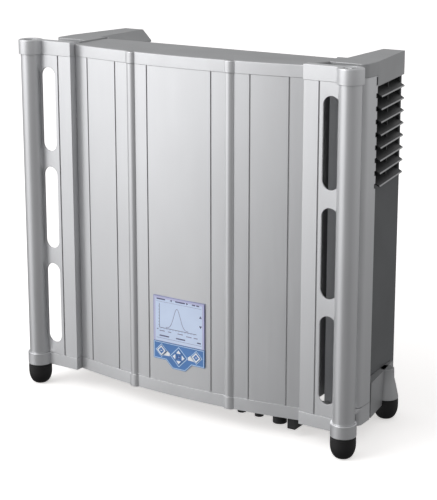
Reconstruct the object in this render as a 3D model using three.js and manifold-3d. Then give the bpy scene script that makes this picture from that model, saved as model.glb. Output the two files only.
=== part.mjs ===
// A string inverter that turns the direct current of a row of solar panels into mains current.
// +X is the right-hand side as seen from the front, -Y is the front, +Z is up. All sizes are in
// millimetres. The origin is on the floor, under the middle of the overall box.
import * as THREE from 'three';
import { mergeVertices } from 'three/addons/utils/BufferGeometryUtils.js';
import Module from 'manifold-3d';

const wasm = await Module();
wasm.setup();

// ---------------------------------------------------------------- driving dimensions
const COLUMN_SPACING = 570;   // between the centres of the two front columns
const OVERALL_HEIGHT = 574;
const OVERALL_DEPTH = 240;    // front of the columns to the wall
const CLEARANCE = 0.3;        // between two pieces that touch

const CAP_RADIUS = 19.5;      // cast ends of the columns
const TUBE_RADIUS = 16.5;
const TUBE_WALL = 3.5;
const FOOT_HEIGHT = 34;
const FOOT_RADIUS = 19.2;
const BOTTOM_TRIM_HEIGHT = 20;
const TOP_TRIM_HEIGHT = 23;
const CENTER_TRIM_STEP = 5;   // the middle trim and the deck lie this much below the columns
const HOOD_STEP = 3;          // the hoods lie this much below the columns

const WING_WIDTH = 77;        // column centre to the end of the bowed front
const PLATE_SETBACK = 3.2;    // front of the handle plate behind the column centres
const PLATE_THICKNESS = 3;
const BOW_PROUD = 5.6;        // crown of the bowed front before the column centres
const BOW_DEPTH = 21.4;       // crown of the bowed front to its ends
const PANEL_THICKNESS = 3;
const RIB_X = 89;             // half the distance between the two ribs
const RIB_WIDTH = 14.5;
const RIB_HEIGHT = 4.6;
const TRIM_PROUD = 1;
const TRIM_THICKNESS = 5;

const SLOT_WIDTH = 27;
const SLOT_COUNT = 3;
const SLOT_WEB = 26;
const SLOT_MARGIN = 20;       // profile ends to the first and last slot
const GROOVE_WIDTH = 2.2;
const GROOVE_DEPTH = 1.2;

const SIDE_INSET = 4;         // side faces inboard of the column centres
const SIDE_FRONT = 57;        // column centres to the front face of the side profile
const SIDE_PROFILE_DEPTH = 35;
const SIDE_CORNER_RADIUS = 10;
const SIDE_WALL = 3;
const SIDE_RETURN_WIDTH = 59; // width of the front face of the side profile
const REAR_TAPER = 20;        // the sides come in by this much towards the wall
const SKIRT_DROP = 8;         // the side skirts hang below the front trim
const HOOD_SKIRT = 36;        // height of the side face of a hood
const HOOD_CHAMFER = 17;
const DUCT_FRONT_INSET = 15;  // duct wall inboard of the side face, at its front end
const DUCT_WALL = 2.5;
const BRACKET_HEIGHT = 48;    // top of the rear bracket above the foot

const LOUVRE_COUNT = 8;
const LOUVRE_PITCH = 19;
const LOUVRE_DROP = 18;       // first slat tip below the edge of the hood
const LOUVRE_REACH = 2.5;     // slat tips stand this much proud of the side face

const TUB_PAST_SIDE = 45;     // front face of the side profile to the back of the electronics tub
const CABINET_DEPTH = SIDE_FRONT + TUB_PAST_SIDE;
const TUB_WALL = 2;
const DECK_THICKNESS = 8;

const FAN_SIZE = 92;
const FAN_DEPTH = 25;
const FAN_TIP_GAP = 1.5;
const BLADE_COUNT = 7;

const DISPLAY_WIDTH = 95;
const DISPLAY_TOP = 140;      // top of the screen above the lower end of the front panels
const WINDOW_MARGIN = 6;      // opening in the panel inboard of the edge of the display
const SCREEN_HEIGHT = 74;
const KEYPAD_HEIGHT = 29;
const KEYPAD_LOBE = 12;
const KEY_TRAVEL = 0.6;

const FIN_PITCH = 16;
const FIN_THICKNESS = 3;
const FIN_BASE = 9;
const SINK_BACK_GAP = 14;     // fin tips to the wall
const SINK_SIDE_GAP = 8;      // heat sink to the ends of the front panels
const SINK_BOTTOM_GAP = 36;
const SINK_TOP_GAP = 6;

const CENTER_GROOVE_OFFSET = 31.3;  // rib to the groove in the middle panel
const INNER_GROOVE_OFFSET = 32.5;   // rib to the first groove in a side panel
const OUTER_GROOVE_OFFSET = 26.1;   // end of a side panel to its second groove
const PLATE_GROOVE_OFFSET = 6.5;    // slot to the groove in the handle plate
const RIB_TRIM_OVERLAP = 1;         // the trim swells this much wider than a rib on each side

const SCREW_RECESS = 6;
const SCREW_HEAD_RADIUS = 9;
const SCREW_SHAFT_RADIUS = 4;
const SCREW_SHAFT_LENGTH = 40;
const HEX_RADIUS = 4.6;
const CASTING_FLOOR = 4;
const WING_NOSE = 2;

const NOTCH_DEPTH = 4;        // notches in the rear edge of the side profile, beside each slat
const NOTCH_HEIGHT = 7;
const HOOD_NOTCH_HEIGHT = 12;
const SLAT_DEPTH = 15;
const SLAT_DROP = 10;
const SLAT_THICKNESS = 2.2;
const POST_THICKNESS = 2;     // the uprights that hold the slats

const HOOD_WALL = 2.2;
const HOOD_TONGUE = 25;       // front point of a hood before the side profile
const HOOD_SLOPE_START = 20;  // behind the cabinet

const RAIL_HEIGHT = 60;
const RAIL_DROP = 90;         // top of the heat sink to the foot of the rail
const RAIL_SLOT_WIDTH = 28;
const RAIL_SLOT_HEIGHT = 10;
const COVER_THICKNESS = 2;

const ENTRY_DEPTH = 38;       // column centres to the row of cable entries
const GLAND_GROUND_GAP = 13;  // floor to the lowest point of the cable entries
const NUT_HEIGHT = 6;
const KNOB_RADIUS = 16;
const KNOB_GRIP = 13;

const BOARD_THICKNESS = 2;
const MODULE_DEPTH = 12;
const CAPACITOR_RADIUS = 22;
const CAPACITOR_LENGTH = 45;
const CHOKE_RADIUS = 27;
const CHOKE_WINDING = 13;
const TERMINAL_DEPTH = 30;
const TERMINAL_HEIGHT = 40;
const PASS = 5;               // how far a cutting tool runs past what it cuts

// ---------------------------------------------------------------- levels and planes
const frontY = -OVERALL_DEPTH / 2;
const rearY = OVERALL_DEPTH / 2;
const columnY = frontY + CAP_RADIUS;
const columnX = COLUMN_SPACING / 2;
const panelEndX = columnX - WING_WIDTH;

const trimBottomZ = FOOT_HEIGHT;
const profileBottomZ = trimBottomZ + BOTTOM_TRIM_HEIGHT;
const profileTopZ = OVERALL_HEIGHT - TOP_TRIM_HEIGHT;
const deckTopZ = OVERALL_HEIGHT - CENTER_TRIM_STEP;
const hoodTopZ = OVERALL_HEIGHT - HOOD_STEP;
const skirtBottomZ = trimBottomZ - SKIRT_DROP;

// Front surface of the bowed front at a distance from the middle.
const bowY = (x) => columnY - BOW_PROUD + BOW_DEPTH * (x / panelEndX) ** 2;

const plateY = columnY + PLATE_SETBACK;
const wingCapFrontY = plateY - TRIM_PROUD;
const wingCapBackY = columnY - BOW_PROUD + BOW_DEPTH + PANEL_THICKNESS;

const sideX = columnX - SIDE_INSET;
const sideFrontY = columnY + SIDE_FRONT;
const sideProfileBackY = sideFrontY + SIDE_PROFILE_DEPTH;
const taperStartY = sideProfileBackY + 2;
const sideRearX = sideX - REAR_TAPER;
const returnX = sideX - SIDE_RETURN_WIDTH;
const ductInnerX = panelEndX + 2 * CLEARANCE;
const ductFrontY = sideProfileBackY + 4;
const ductRearY = rearY - 3;

// Side face of the tapering rear half at a depth, and the duct wall behind it.
const taperX = (y) => sideX - REAR_TAPER * (y - taperStartY) / (rearY - taperStartY);
const ductFrontX = sideX - DUCT_FRONT_INSET;
const ductRearX = sideRearX - 3;
const ductX = (y) => ductFrontX + (ductRearX - ductFrontX) * (y - ductFrontY) / (rearY - ductFrontY);

const tubFrontY = bowY(panelEndX) + TRIM_THICKNESS - TRIM_PROUD + CLEARANCE;
const tubBackY = columnY + CABINET_DEPTH;

// ---------------------------------------------------------------- helpers
const sorted = (a, b) => [Math.min(a, b), Math.max(a, b)];

function outline(points) {
  return new THREE.Shape(points.map(([x, y]) => new THREE.Vector2(x, y)));
}

function raised(shape, depth) {
  return new THREE.ExtrudeGeometry(shape, { depth, bevelEnabled: false, curveSegments: 8 });
}

// An outline in plan, raised from one level to another.
function planPrism(points, z0, z1) {
  const shape = points instanceof THREE.Shape ? points : outline(points);
  return raised(shape, z1 - z0).translate(0, 0, z0);
}

// An outline given as (x, z), run from one depth to another.
function depthPrism(points, y0, y1) {
  const shape = points instanceof THREE.Shape ? points : outline(points);
  return raised(shape, y1 - y0).rotateX(Math.PI / 2).translate(0, y1, 0);
}

function block(xa, xb, ya, yb, za, zb) {
  const [x0, x1] = sorted(xa, xb);
  const [y0, y1] = sorted(ya, yb);
  const [z0, z1] = sorted(za, zb);
  const box = new THREE.BoxGeometry(x1 - x0, y1 - y0, z1 - z0);
  return box.translate((x0 + x1) / 2, (y0 + y1) / 2, (z0 + z1) / 2);
}

function rod(x, y, z0, z1, radius, sides = 24) {
  const solid = new THREE.CylinderGeometry(radius, radius, z1 - z0, sides);
  return solid.rotateX(Math.PI / 2).translate(x, y, (z0 + z1) / 2);
}

function rodAlongX(x0, x1, y, z, radius, sides = 24) {
  const solid = new THREE.CylinderGeometry(radius, radius, x1 - x0, sides);
  return solid.rotateZ(Math.PI / 2).translate((x0 + x1) / 2, y, z);
}

function rodAlongY(x, y0, y1, z, radius, sides = 24) {
  return new THREE.CylinderGeometry(radius, radius, y1 - y0, sides).translate(x, (y0 + y1) / 2, z);
}

// A turned piece standing on +Z, from (radius, height) pairs.
function turned(points, x, y, sides = 28) {
  const profile = points.map(([r, z]) => new THREE.Vector2(r, z));
  return new THREE.LatheGeometry(profile, sides).rotateX(Math.PI / 2).translate(x, y, 0);
}

function solidOf(geometry) {
  const bare = geometry.clone();
  bare.deleteAttribute('normal');
  bare.deleteAttribute('uv');
  const merged = mergeVertices(bare, 1e-4);
  const vertProperties = new Float32Array(merged.attributes.position.array);
  const triVerts = new Uint32Array(merged.index.array);
  return new wasm.Manifold(new wasm.Mesh({ numProp: 3, vertProperties, triVerts }));
}

function geometryOf(solid) {
  const mesh = solid.getMesh();
  const geometry = new THREE.BufferGeometry();
  geometry.setAttribute('position', new THREE.BufferAttribute(mesh.vertProperties, 3));
  geometry.setIndex(new THREE.BufferAttribute(mesh.triVerts, 1));
  return geometry;
}

function join(...pieces) {
  return geometryOf(pieces.map(solidOf).reduce((whole, piece) => whole.add(piece)));
}

function cut(base, ...tools) {
  return geometryOf(tools.map(solidOf).reduce((whole, tool) => whole.subtract(tool), solidOf(base)));
}

function mirrored(geometry) {
  const copy = mergeVertices(geometry.clone().deleteAttribute('normal').deleteAttribute('uv'), 1e-4);
  copy.scale(-1, 1, 1);
  const index = copy.index.array;
  for (let i = 0; i < index.length; i += 3) {
    [index[i], index[i + 1]] = [index[i + 1], index[i]];
  }
  return copy;
}

const group = new THREE.Group();

const finishes = {
  silver: { color: 0xc3c6ca, roughness: 0.38, metalness: 0.75 },
  dark_silver: { color: 0x7d7f82, roughness: 0.45, metalness: 0.6 },
  duct_grey: { color: 0x595c5e, roughness: 0.6, metalness: 0.3 },
  black_plastic: { color: 0x1c1c1d, roughness: 0.55, metalness: 0 },
  rubber: { color: 0x141414, roughness: 0.85, metalness: 0 },
  steel: { color: 0x9b9da0, roughness: 0.35, metalness: 0.9 },
  raw_aluminium: { color: 0xa8abad, roughness: 0.5, metalness: 0.85 },
  screen: { color: 0xbfd0ea, roughness: 0.2, metalness: 0 },
  clear_window: { color: 0xdde6f2, roughness: 0.08, metalness: 0 },
  blue_film: { color: 0x3d74b6, roughness: 0.35, metalness: 0 },
  key_blue: { color: 0x2f64aa, roughness: 0.4, metalness: 0 },
  circuit_board: { color: 0x1f5a38, roughness: 0.5, metalness: 0 },
  copper: { color: 0xb0683a, roughness: 0.4, metalness: 0.8 },
};

function add(name, geometry, finish) {
  const mesh = new THREE.Mesh(geometry, new THREE.MeshStandardMaterial(finishes[finish]));
  mesh.name = name;
  group.add(mesh);
}

function addPair(name, geometry, finish) {
  add(`${name}_right`, geometry, finish);
  add(`${name}_left`, mirrored(geometry), finish);
}

// ---------------------------------------------------------------- bowed front panels
// Plan outline of a strip that follows the bow between two distances, with grooves in its face.
function bowStrip(x0, x1, offset, thickness, grooves = []) {
  const marks = new Set([x0, x1]);
  const steps = Math.ceil((x1 - x0) / 12);
  for (let i = 1; i < steps; i += 1) {
    const x = x0 + (x1 - x0) * i / steps;
    if (grooves.every((g) => Math.abs(x - g) > GROOVE_WIDTH)) marks.add(x);
  }
  const face = [...marks].map((x) => [x, bowY(x) + offset]);
  for (const g of grooves) {
    const lip = bowY(g) + offset;
    const left = g - GROOVE_WIDTH / 2;
    const right = g + GROOVE_WIDTH / 2;
    const floor = lip + GROOVE_DEPTH;
    face.push([left, lip], [left + 1e-3, floor], [right - 1e-3, floor], [right, lip]);
  }
  face.sort((a, b) => a[0] - b[0]);
  const back = [...marks].sort((a, b) => b - a).map((x) => [x, bowY(x) + offset + thickness]);
  return [...face, ...back];
}

const panelJointX = RIB_X;
const sidePanelGrooves = [RIB_X + INNER_GROOVE_OFFSET, panelEndX - OUTER_GROOVE_OFFSET];
const centerPanelGroove = RIB_X - CENTER_GROOVE_OFFSET;

const centerPanel = planPrism(
  bowStrip(-panelJointX + CLEARANCE / 2, panelJointX - CLEARANCE / 2, 0, PANEL_THICKNESS,
    [-centerPanelGroove, centerPanelGroove]),
  profileBottomZ + CLEARANCE, profileTopZ - CLEARANCE,
);

addPair('front_panel', planPrism(
  bowStrip(panelJointX + CLEARANCE / 2, panelEndX, 0, PANEL_THICKNESS, sidePanelGrooves),
  profileBottomZ + CLEARANCE, profileTopZ - CLEARANCE,
), 'silver');

// A bead that covers the joint between two panels; its back follows the bow.
function ribOutline(width, height, offset) {
  const half = width / 2;
  const crown = [];
  for (let i = 0; i <= 10; i += 1) {
    const angle = Math.PI * i / 10;
    const x = RIB_X - half * Math.cos(angle);
    crown.push([x, bowY(x) + offset - height * Math.sin(angle) ** 0.7]);
  }
  crown[0][1] = bowY(crown[0][0]) + offset;
  crown[10][1] = bowY(crown[10][0]) + offset;
  return crown;
}

addPair('panel_rib', planPrism(
  ribOutline(RIB_WIDTH, RIB_HEIGHT, -CLEARANCE),
  profileBottomZ + CLEARANCE, profileTopZ - CLEARANCE,
), 'silver');

// ---------------------------------------------------------------- top and bottom trim
function trimBand(z0, z1) {
  const band = planPrism(bowStrip(-panelEndX, panelEndX, -TRIM_PROUD, TRIM_THICKNESS), z0, z1);
  const half = RIB_WIDTH / 2 + RIB_TRIM_OVERLAP;
  const bumpBackY = bowY(RIB_X) + TRIM_THICKNESS / 2;
  const bump = planPrism([
    ...ribOutline(2 * half, RIB_HEIGHT, -TRIM_PROUD), [RIB_X + half, bumpBackY], [RIB_X - half, bumpBackY],
  ], z0, z1);
  return join(band, bump, mirrored(bump));
}

add('top_trim', trimBand(profileTopZ, deckTopZ), 'silver');
add('bottom_trim', trimBand(trimBottomZ, profileBottomZ), 'silver');

// The deck closes the top of the cabinet behind the trim, and steps out beside the hoods.
const deckFrontOffset = TRIM_THICKNESS - TRIM_PROUD + CLEARANCE;
const deckSideX = panelEndX + 5;
const deckFront = [];
for (let i = 0; i <= 24; i += 1) {
  const x = -panelEndX + 2 * panelEndX * i / 24;
  deckFront.push([x, bowY(x) + deckFrontOffset]);
}
const deckStepY = wingCapBackY + CLEARANCE + 1;
const deckBackY = tubBackY;
add('top_deck', planPrism([
  ...deckFront, [panelEndX, deckStepY], [deckSideX, deckStepY], [deckSideX, deckBackY],
  [-deckSideX, deckBackY], [-deckSideX, deckStepY], [-panelEndX, deckStepY],
], deckTopZ - DECK_THICKNESS, deckTopZ), 'dark_silver');

// ---------------------------------------------------------------- columns and handle plates
const profileZ0 = profileBottomZ + CLEARANCE;
const profileZ1 = profileTopZ - CLEARANCE;
const plateInnerX = panelEndX + CLEARANCE + 1;
const tubeNearX = columnX - Math.sqrt(TUBE_RADIUS ** 2 - PLATE_SETBACK ** 2);
const slotOuterX = tubeNearX - 1;
const slotInnerX = slotOuterX - SLOT_WIDTH;
const slotPitch = (profileTopZ - profileBottomZ - 2 * SLOT_MARGIN + SLOT_WEB) / SLOT_COUNT;
const slotLength = slotPitch - SLOT_WEB;

function slotOutline(index) {
  const z0 = profileBottomZ + SLOT_MARGIN + index * slotPitch;
  const z1 = z0 + slotLength;
  const radius = SLOT_WIDTH / 2;
  const middle = slotInnerX + radius;
  const shape = new THREE.Shape();
  shape.moveTo(slotOuterX, z0 + radius);
  shape.lineTo(slotOuterX, z1 - radius);
  shape.absarc(middle, z1 - radius, radius, 0, Math.PI, false);
  shape.lineTo(slotInnerX, z0 + radius);
  shape.absarc(middle, z0 + radius, radius, Math.PI, 2 * Math.PI, false);
  return shape;
}

const plateBackY = plateY + PLATE_THICKNESS;
const plateGrooveX = slotInnerX - PLATE_GROOVE_OFFSET;
const grooveFloorY = plateY + GROOVE_DEPTH;
const handlePlate = planPrism([
  [plateInnerX, plateY],
  [plateGrooveX - GROOVE_WIDTH / 2, plateY], [plateGrooveX - GROOVE_WIDTH / 2, grooveFloorY],
  [plateGrooveX + GROOVE_WIDTH / 2, grooveFloorY], [plateGrooveX + GROOVE_WIDTH / 2, plateY],
  [columnX - TUBE_WALL, plateY], [columnX - TUBE_WALL, plateBackY],
  [plateInnerX + PLATE_THICKNESS, plateBackY],
  [plateInnerX + PLATE_THICKNESS, wingCapBackY - 1], [plateInnerX, wingCapBackY - 1],
], profileZ0, profileZ1);
const columnTube = rod(columnX, columnY, profileZ0, profileZ1, TUBE_RADIUS, 40);
const columnBore = rod(columnX, columnY, profileZ0 - PASS, profileZ1 + PASS, TUBE_RADIUS - TUBE_WALL, 32);
const slots = [];
for (let i = 0; i < SLOT_COUNT; i += 1) {
  slots.push(depthPrism(slotOutline(i), plateY - PASS, plateBackY + PASS));
}
addPair('handle_column', cut(join(handlePlate, columnTube), columnBore, ...slots), 'silver');

// ---------------------------------------------------------------- corner caps, screws and feet
function wingBlock(z0, z1) {
  return planPrism([
    [ductInnerX, wingCapFrontY + WING_NOSE], [ductInnerX + WING_NOSE, wingCapFrontY],
    [columnX, wingCapFrontY], [columnX, wingCapBackY - 2], [ductInnerX, wingCapBackY - 2],
  ], z0, z1);
}

const topCap = join(
  rod(columnX, columnY, profileTopZ, OVERALL_HEIGHT, CAP_RADIUS, 40),
  wingBlock(profileTopZ, OVERALL_HEIGHT - 1),
);
addPair('top_corner_cap', cut(
  topCap,
  rod(columnX, columnY, OVERALL_HEIGHT - SCREW_RECESS, OVERALL_HEIGHT + PASS, SCREW_HEAD_RADIUS + 2, 32),
  rod(columnX, columnY, profileTopZ - PASS, OVERALL_HEIGHT + PASS, SCREW_SHAFT_RADIUS + CLEARANCE, 20),
), 'silver');

const screwSeatZ = OVERALL_HEIGHT - SCREW_RECESS + CLEARANCE;
addPair('column_screw', cut(
  join(
    rod(columnX, columnY, screwSeatZ, OVERALL_HEIGHT - 1, SCREW_HEAD_RADIUS, 32),
    rod(columnX, columnY, screwSeatZ - SCREW_SHAFT_LENGTH, screwSeatZ + 1, SCREW_SHAFT_RADIUS, 20),
  ),
  rod(columnX, columnY, screwSeatZ + 1.5, OVERALL_HEIGHT + PASS, HEX_RADIUS, 6),
), 'steel');

// Outline of the side profile in plan: a channel whose front outer corner is rounded.
function sideChannel(wall, backY, returnBackY) {
  const shape = new THREE.Shape();
  const cornerX = sideX - SIDE_CORNER_RADIUS;
  const cornerY = sideFrontY + SIDE_CORNER_RADIUS;
  shape.moveTo(returnX, sideFrontY);
  shape.lineTo(cornerX, sideFrontY);
  shape.absarc(cornerX, cornerY, SIDE_CORNER_RADIUS, -Math.PI / 2, 0, false);
  shape.lineTo(sideX, backY);
  shape.lineTo(sideX - wall, backY);
  shape.lineTo(sideX - wall, cornerY);
  shape.absarc(cornerX, cornerY, SIDE_CORNER_RADIUS - wall, 0, -Math.PI / 2, true);
  shape.lineTo(returnX + wall, sideFrontY + wall);
  shape.lineTo(returnX + wall, returnBackY);
  shape.lineTo(returnX, returnBackY);
  return shape;
}

// The base casting joins the column, the handle plate and the side profile.
const baseCasting = join(
  rod(columnX, columnY, trimBottomZ, profileBottomZ, CAP_RADIUS, 40),
  wingBlock(trimBottomZ, profileBottomZ),
  block(ductInnerX, sideX - SIDE_CORNER_RADIUS, wingCapBackY - 3, sideFrontY + 1,
    profileBottomZ - CASTING_FLOOR, profileBottomZ),
  block(columnX - 12, sideX, columnY, sideFrontY + SIDE_CORNER_RADIUS,
    profileBottomZ - CASTING_FLOOR, profileBottomZ),
  planPrism(sideChannel(SIDE_WALL + 1, sideProfileBackY, sideProfileBackY), skirtBottomZ, profileBottomZ),
);
const castingCorner = cut(
  block(sideX - SIDE_CORNER_RADIUS, sideX + 5, sideFrontY - 60, sideFrontY + SIDE_CORNER_RADIUS,
    skirtBottomZ - 5, profileBottomZ + 5),
  rod(sideX - SIDE_CORNER_RADIUS, sideFrontY + SIDE_CORNER_RADIUS, skirtBottomZ - 9, profileBottomZ + 9,
    SIDE_CORNER_RADIUS, 32),
  block(sideX - 40, sideX + 30, sideFrontY - 70, sideFrontY, skirtBottomZ - 9, profileBottomZ + 9),
);
addPair('base_casting', cut(baseCasting, castingCorner), 'silver');

// A rubber foot: a short straight collar over a dome with a small flat tread.
function foot(x, y) {
  const straight = 12;
  const domeHeight = FOOT_HEIGHT - CLEARANCE - straight;
  const tread = 7;
  const points = [[0, 0], [tread, 0]];
  for (let i = 1; i <= 6; i += 1) {
    const angle = Math.PI / 2 * i / 6;
    const radius = tread + (FOOT_RADIUS - tread) * Math.sin(angle);
    points.push([radius, domeHeight * (1 - Math.cos(angle))]);
  }
  points.push([FOOT_RADIUS, FOOT_HEIGHT - CLEARANCE], [0, FOOT_HEIGHT - CLEARANCE]);
  return turned(points, x, y);
}

const rearFootX = sideX - 12;
const rearFootY = rearY - 48.5;
addPair('foot_front', foot(columnX, columnY), 'rubber');
addPair('foot_rear', foot(rearFootX, rearFootY), 'rubber');

// ---------------------------------------------------------------- sides
const slatTipZ = (i) => hoodTopZ - HOOD_SKIRT - LOUVRE_DROP - i * LOUVRE_PITCH;
const louvreBottomZ = slatTipZ(LOUVRE_COUNT - 1) - 2;
const louvreTopZ = hoodTopZ - HOOD_SKIRT - CLEARANCE;

function notch(z, height) {
  const notchY = sideProfileBackY - NOTCH_DEPTH;
  return block(sideX - 10, sideX + PASS, notchY, sideProfileBackY + PASS, z, z + height);
}

const profileNotches = [];
for (let i = 0; i < LOUVRE_COUNT; i += 1) {
  profileNotches.push(notch(slatTipZ(i) + 1, NOTCH_HEIGHT));
}
profileNotches.push(notch(hoodTopZ - HOOD_SKIRT + 2, HOOD_NOTCH_HEIGHT));
const sideProfile = planPrism(
  sideChannel(SIDE_WALL, sideProfileBackY, ductFrontY - CLEARANCE), profileZ0, profileZ1,
);
addPair('side_profile', cut(sideProfile, ...profileNotches), 'silver');

// The side duct is a tall tube of sheet metal; air leaves it through the louvre.
const ductZ0 = profileBottomZ + CLEARANCE;
const ductZ1 = profileTopZ - CLEARANCE;
function ductOutline(inset) {
  const y0 = ductFrontY + inset;
  const y1 = ductRearY - inset;
  return [
    [ductInnerX + inset, y0], [ductX(y0) - inset, y0],
    [ductX(y1) - inset, y1], [ductInnerX + inset, y1],
  ];
}
const fanY = (ductFrontY + ductRearY) / 2;
const fanZ = (louvreBottomZ + louvreTopZ) / 2;
const louvreFrontY = ductFrontY + 2 * DUCT_WALL;
const louvreRearY = ductRearY - DUCT_WALL - 2;
const louvreInnerX = ductRearX - SLAT_DEPTH - 3;
const louvreOpening = block(
  louvreInnerX, sideX + PASS, louvreFrontY, louvreRearY, louvreBottomZ, louvreTopZ,
);
const fanOpening = rodAlongX(ductInnerX - PASS, ductInnerX + 2 * PASS, fanY, fanZ, FAN_SIZE / 2 - 2, 36);
addPair('side_duct', cut(
  planPrism(ductOutline(0), ductZ0, ductZ1),
  planPrism(ductOutline(DUCT_WALL), ductZ0 - PASS, ductZ1 + PASS),
  louvreOpening, fanOpening,
), 'duct_grey');

// The louvre is made straight along the depth, then turned to follow the tapering side.
const taperAngle = Math.atan2(REAR_TAPER, rearY - taperStartY);
const slatLead = SLAT_DEPTH * Math.sin(taperAngle);      // the turn brings the inner edge forward
const slatTrail = LOUVRE_REACH * Math.sin(taperAngle);   // and the outer edge back
const louvreRun = louvreRearY - louvreFrontY - slatLead - slatTrail - 2 * CLEARANCE;
const louvreLength = louvreRun / Math.cos(taperAngle);

function slat(tipZ) {
  return depthPrism([
    [LOUVRE_REACH, tipZ], [LOUVRE_REACH, tipZ + SLAT_THICKNESS],
    [-SLAT_DEPTH, tipZ + SLAT_DROP + SLAT_THICKNESS], [-SLAT_DEPTH, tipZ + SLAT_DROP],
  ], 0, louvreLength);
}

const louvrePieces = [];
for (let i = 0; i < LOUVRE_COUNT; i += 1) louvrePieces.push(slat(slatTipZ(i)));
const lastPost = louvreLength - POST_THICKNESS;
for (const y of [0, lastPost / 2, lastPost]) {
  louvrePieces.push(block(-SLAT_DEPTH, -6, y, y + POST_THICKNESS, louvreBottomZ + 1, louvreTopZ - 1));
}
const louvre = join(...louvrePieces)
  .rotateZ(taperAngle)
  .translate(taperX(louvreFrontY), louvreFrontY + CLEARANCE + slatLead, 0);
addPair('louvre', louvre, 'black_plastic');

// ---------------------------------------------------------------- hoods over the ducts
const hoodInnerX = ductInnerX;
const hoodTongueY = sideFrontY - HOOD_TONGUE;
const hoodLowZ = hoodTopZ - HOOD_SKIRT;
const hoodSeamZ = profileTopZ;
const hoodStepX = deckSideX + CLEARANCE;

function hoodOutline(inset) {
  const cornerX = sideX - SIDE_CORNER_RADIUS;
  const cornerY = sideFrontY + SIDE_CORNER_RADIUS;
  const shape = new THREE.Shape();
  shape.moveTo(hoodStepX + inset, hoodTongueY + inset * 2.4);
  shape.lineTo(returnX + inset * 0.6, sideFrontY + inset);
  shape.lineTo(cornerX, sideFrontY + inset);
  shape.absarc(cornerX, cornerY, SIDE_CORNER_RADIUS - inset, -Math.PI / 2, 0, false);
  shape.lineTo(sideX - inset, taperStartY);
  shape.lineTo(taperX(rearY - inset) - inset, rearY - inset);
  shape.lineTo(hoodInnerX + inset, rearY - inset);
  shape.lineTo(hoodInnerX + inset, tubBackY + CLEARANCE + inset);
  shape.lineTo(hoodStepX + inset, tubBackY + CLEARANCE + inset);
  return shape;
}

// The wedge that slopes the inner rear edge, grown for the hollow inside the hood.
function slopeWedge(grow) {
  const reach = HOOD_CHAMFER + PASS + 1.5 * grow;
  return depthPrism([
    [hoodInnerX - PASS, hoodTopZ - reach], [hoodInnerX + reach, hoodTopZ + PASS],
    [hoodInnerX - PASS, hoodTopZ + PASS],
  ], tubBackY + HOOD_SLOPE_START - grow, rearY + PASS);
}
const hoodHollow = cut(
  planPrism(hoodOutline(HOOD_WALL), hoodLowZ - PASS, hoodTopZ - 2 * HOOD_WALL), slopeWedge(HOOD_WALL),
);
const skirtFrontY = sideProfileBackY + CLEARANCE;
const skirtGap = CLEARANCE + 0.4;
const belowSeam = cut(
  block(hoodInnerX - 10, sideX + 10, hoodTongueY - 10, rearY + 10, hoodLowZ - 10, hoodSeamZ),
  planPrism([
    [ductX(skirtFrontY) + skirtGap, skirtFrontY], [sideX + 20, skirtFrontY],
    [sideX + 20, rearY + 20], [ductX(rearY + 20) + skirtGap, rearY + 20],
  ], hoodLowZ - 20, hoodSeamZ + 10),
);
addPair('rear_hood', cut(
  planPrism(hoodOutline(0), hoodLowZ, hoodTopZ), hoodHollow, slopeWedge(0), belowSeam,
), 'dark_silver');

// ---------------------------------------------------------------- rear foot brackets
const bracketFrontY = ductFrontY + 1;
const bracketBackY = rearY - 16;
const bracketInnerX = sideRearX - 22;
const bracketTopZ = trimBottomZ + BRACKET_HEIGHT;
const bracketGap = CLEARANCE + 0.4;
const bracketLow = planPrism([
  [bracketInnerX, bracketFrontY], [taperX(bracketFrontY), bracketFrontY],
  [taperX(bracketBackY), bracketBackY], [bracketInnerX, bracketBackY],
], skirtBottomZ, bracketTopZ);
const bracketBoss = turned([
  [0, trimBottomZ], [FOOT_RADIUS, trimBottomZ], [FOOT_RADIUS - 0.8, trimBottomZ + 5],
  [FOOT_RADIUS - 4, trimBottomZ + 20], [FOOT_RADIUS - 7, bracketTopZ - 16],
  [FOOT_RADIUS - 7.5, bracketTopZ], [0, bracketTopZ],
], rearFootX, rearFootY);
const ductSpace = planPrism([
  [ductInnerX - 5, bracketFrontY - 20], [ductX(bracketFrontY - 20) + bracketGap, bracketFrontY - 20],
  [ductX(rearY + 10) + bracketGap, rearY + 10], [ductInnerX - 5, rearY + 10],
], profileBottomZ, bracketTopZ + 20);
const footSpace = rod(rearFootX, rearFootY, skirtBottomZ - 10, trimBottomZ, FOOT_RADIUS + 0.8, 28);
addPair('rear_foot_bracket', cut(join(bracketLow, bracketBoss), ductSpace, footSpace), 'dark_silver');

// ---------------------------------------------------------------- electronics tub
const tubX = panelEndX;
const tubZ0 = profileBottomZ + CLEARANCE;
const tubZ1 = deckTopZ - DECK_THICKNESS - CLEARANCE;
const entryY = columnY + ENTRY_DEPTH;
const entryThroughZ = tubZ0 + TUB_WALL;

// Cable entries and the isolator, all on the underside: place across, radius of the hole.
const entries = {
  minus: { x: panelEndX - 120.5, radius: 6 },
  plus: { x: panelEndX - 89, radius: 6 },
  mains: { x: panelEndX - 52, radius: 10 },
  isolator: { x: panelEndX - 23, radius: 5 },
};

const tubShell = cut(
  block(-tubX, tubX, tubFrontY, tubBackY, tubZ0, tubZ1),
  block(-tubX + TUB_WALL, tubX - TUB_WALL, tubFrontY - PASS, tubBackY - TUB_WALL,
    tubZ0 + TUB_WALL, tubZ1 - TUB_WALL),
  ...Object.values(entries).map(({ x, radius }) => rod(x, entryY, tubZ0 - PASS, tubZ0 + PASS, radius)),
);
add('electronics_tub', tubShell, 'duct_grey');

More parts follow.
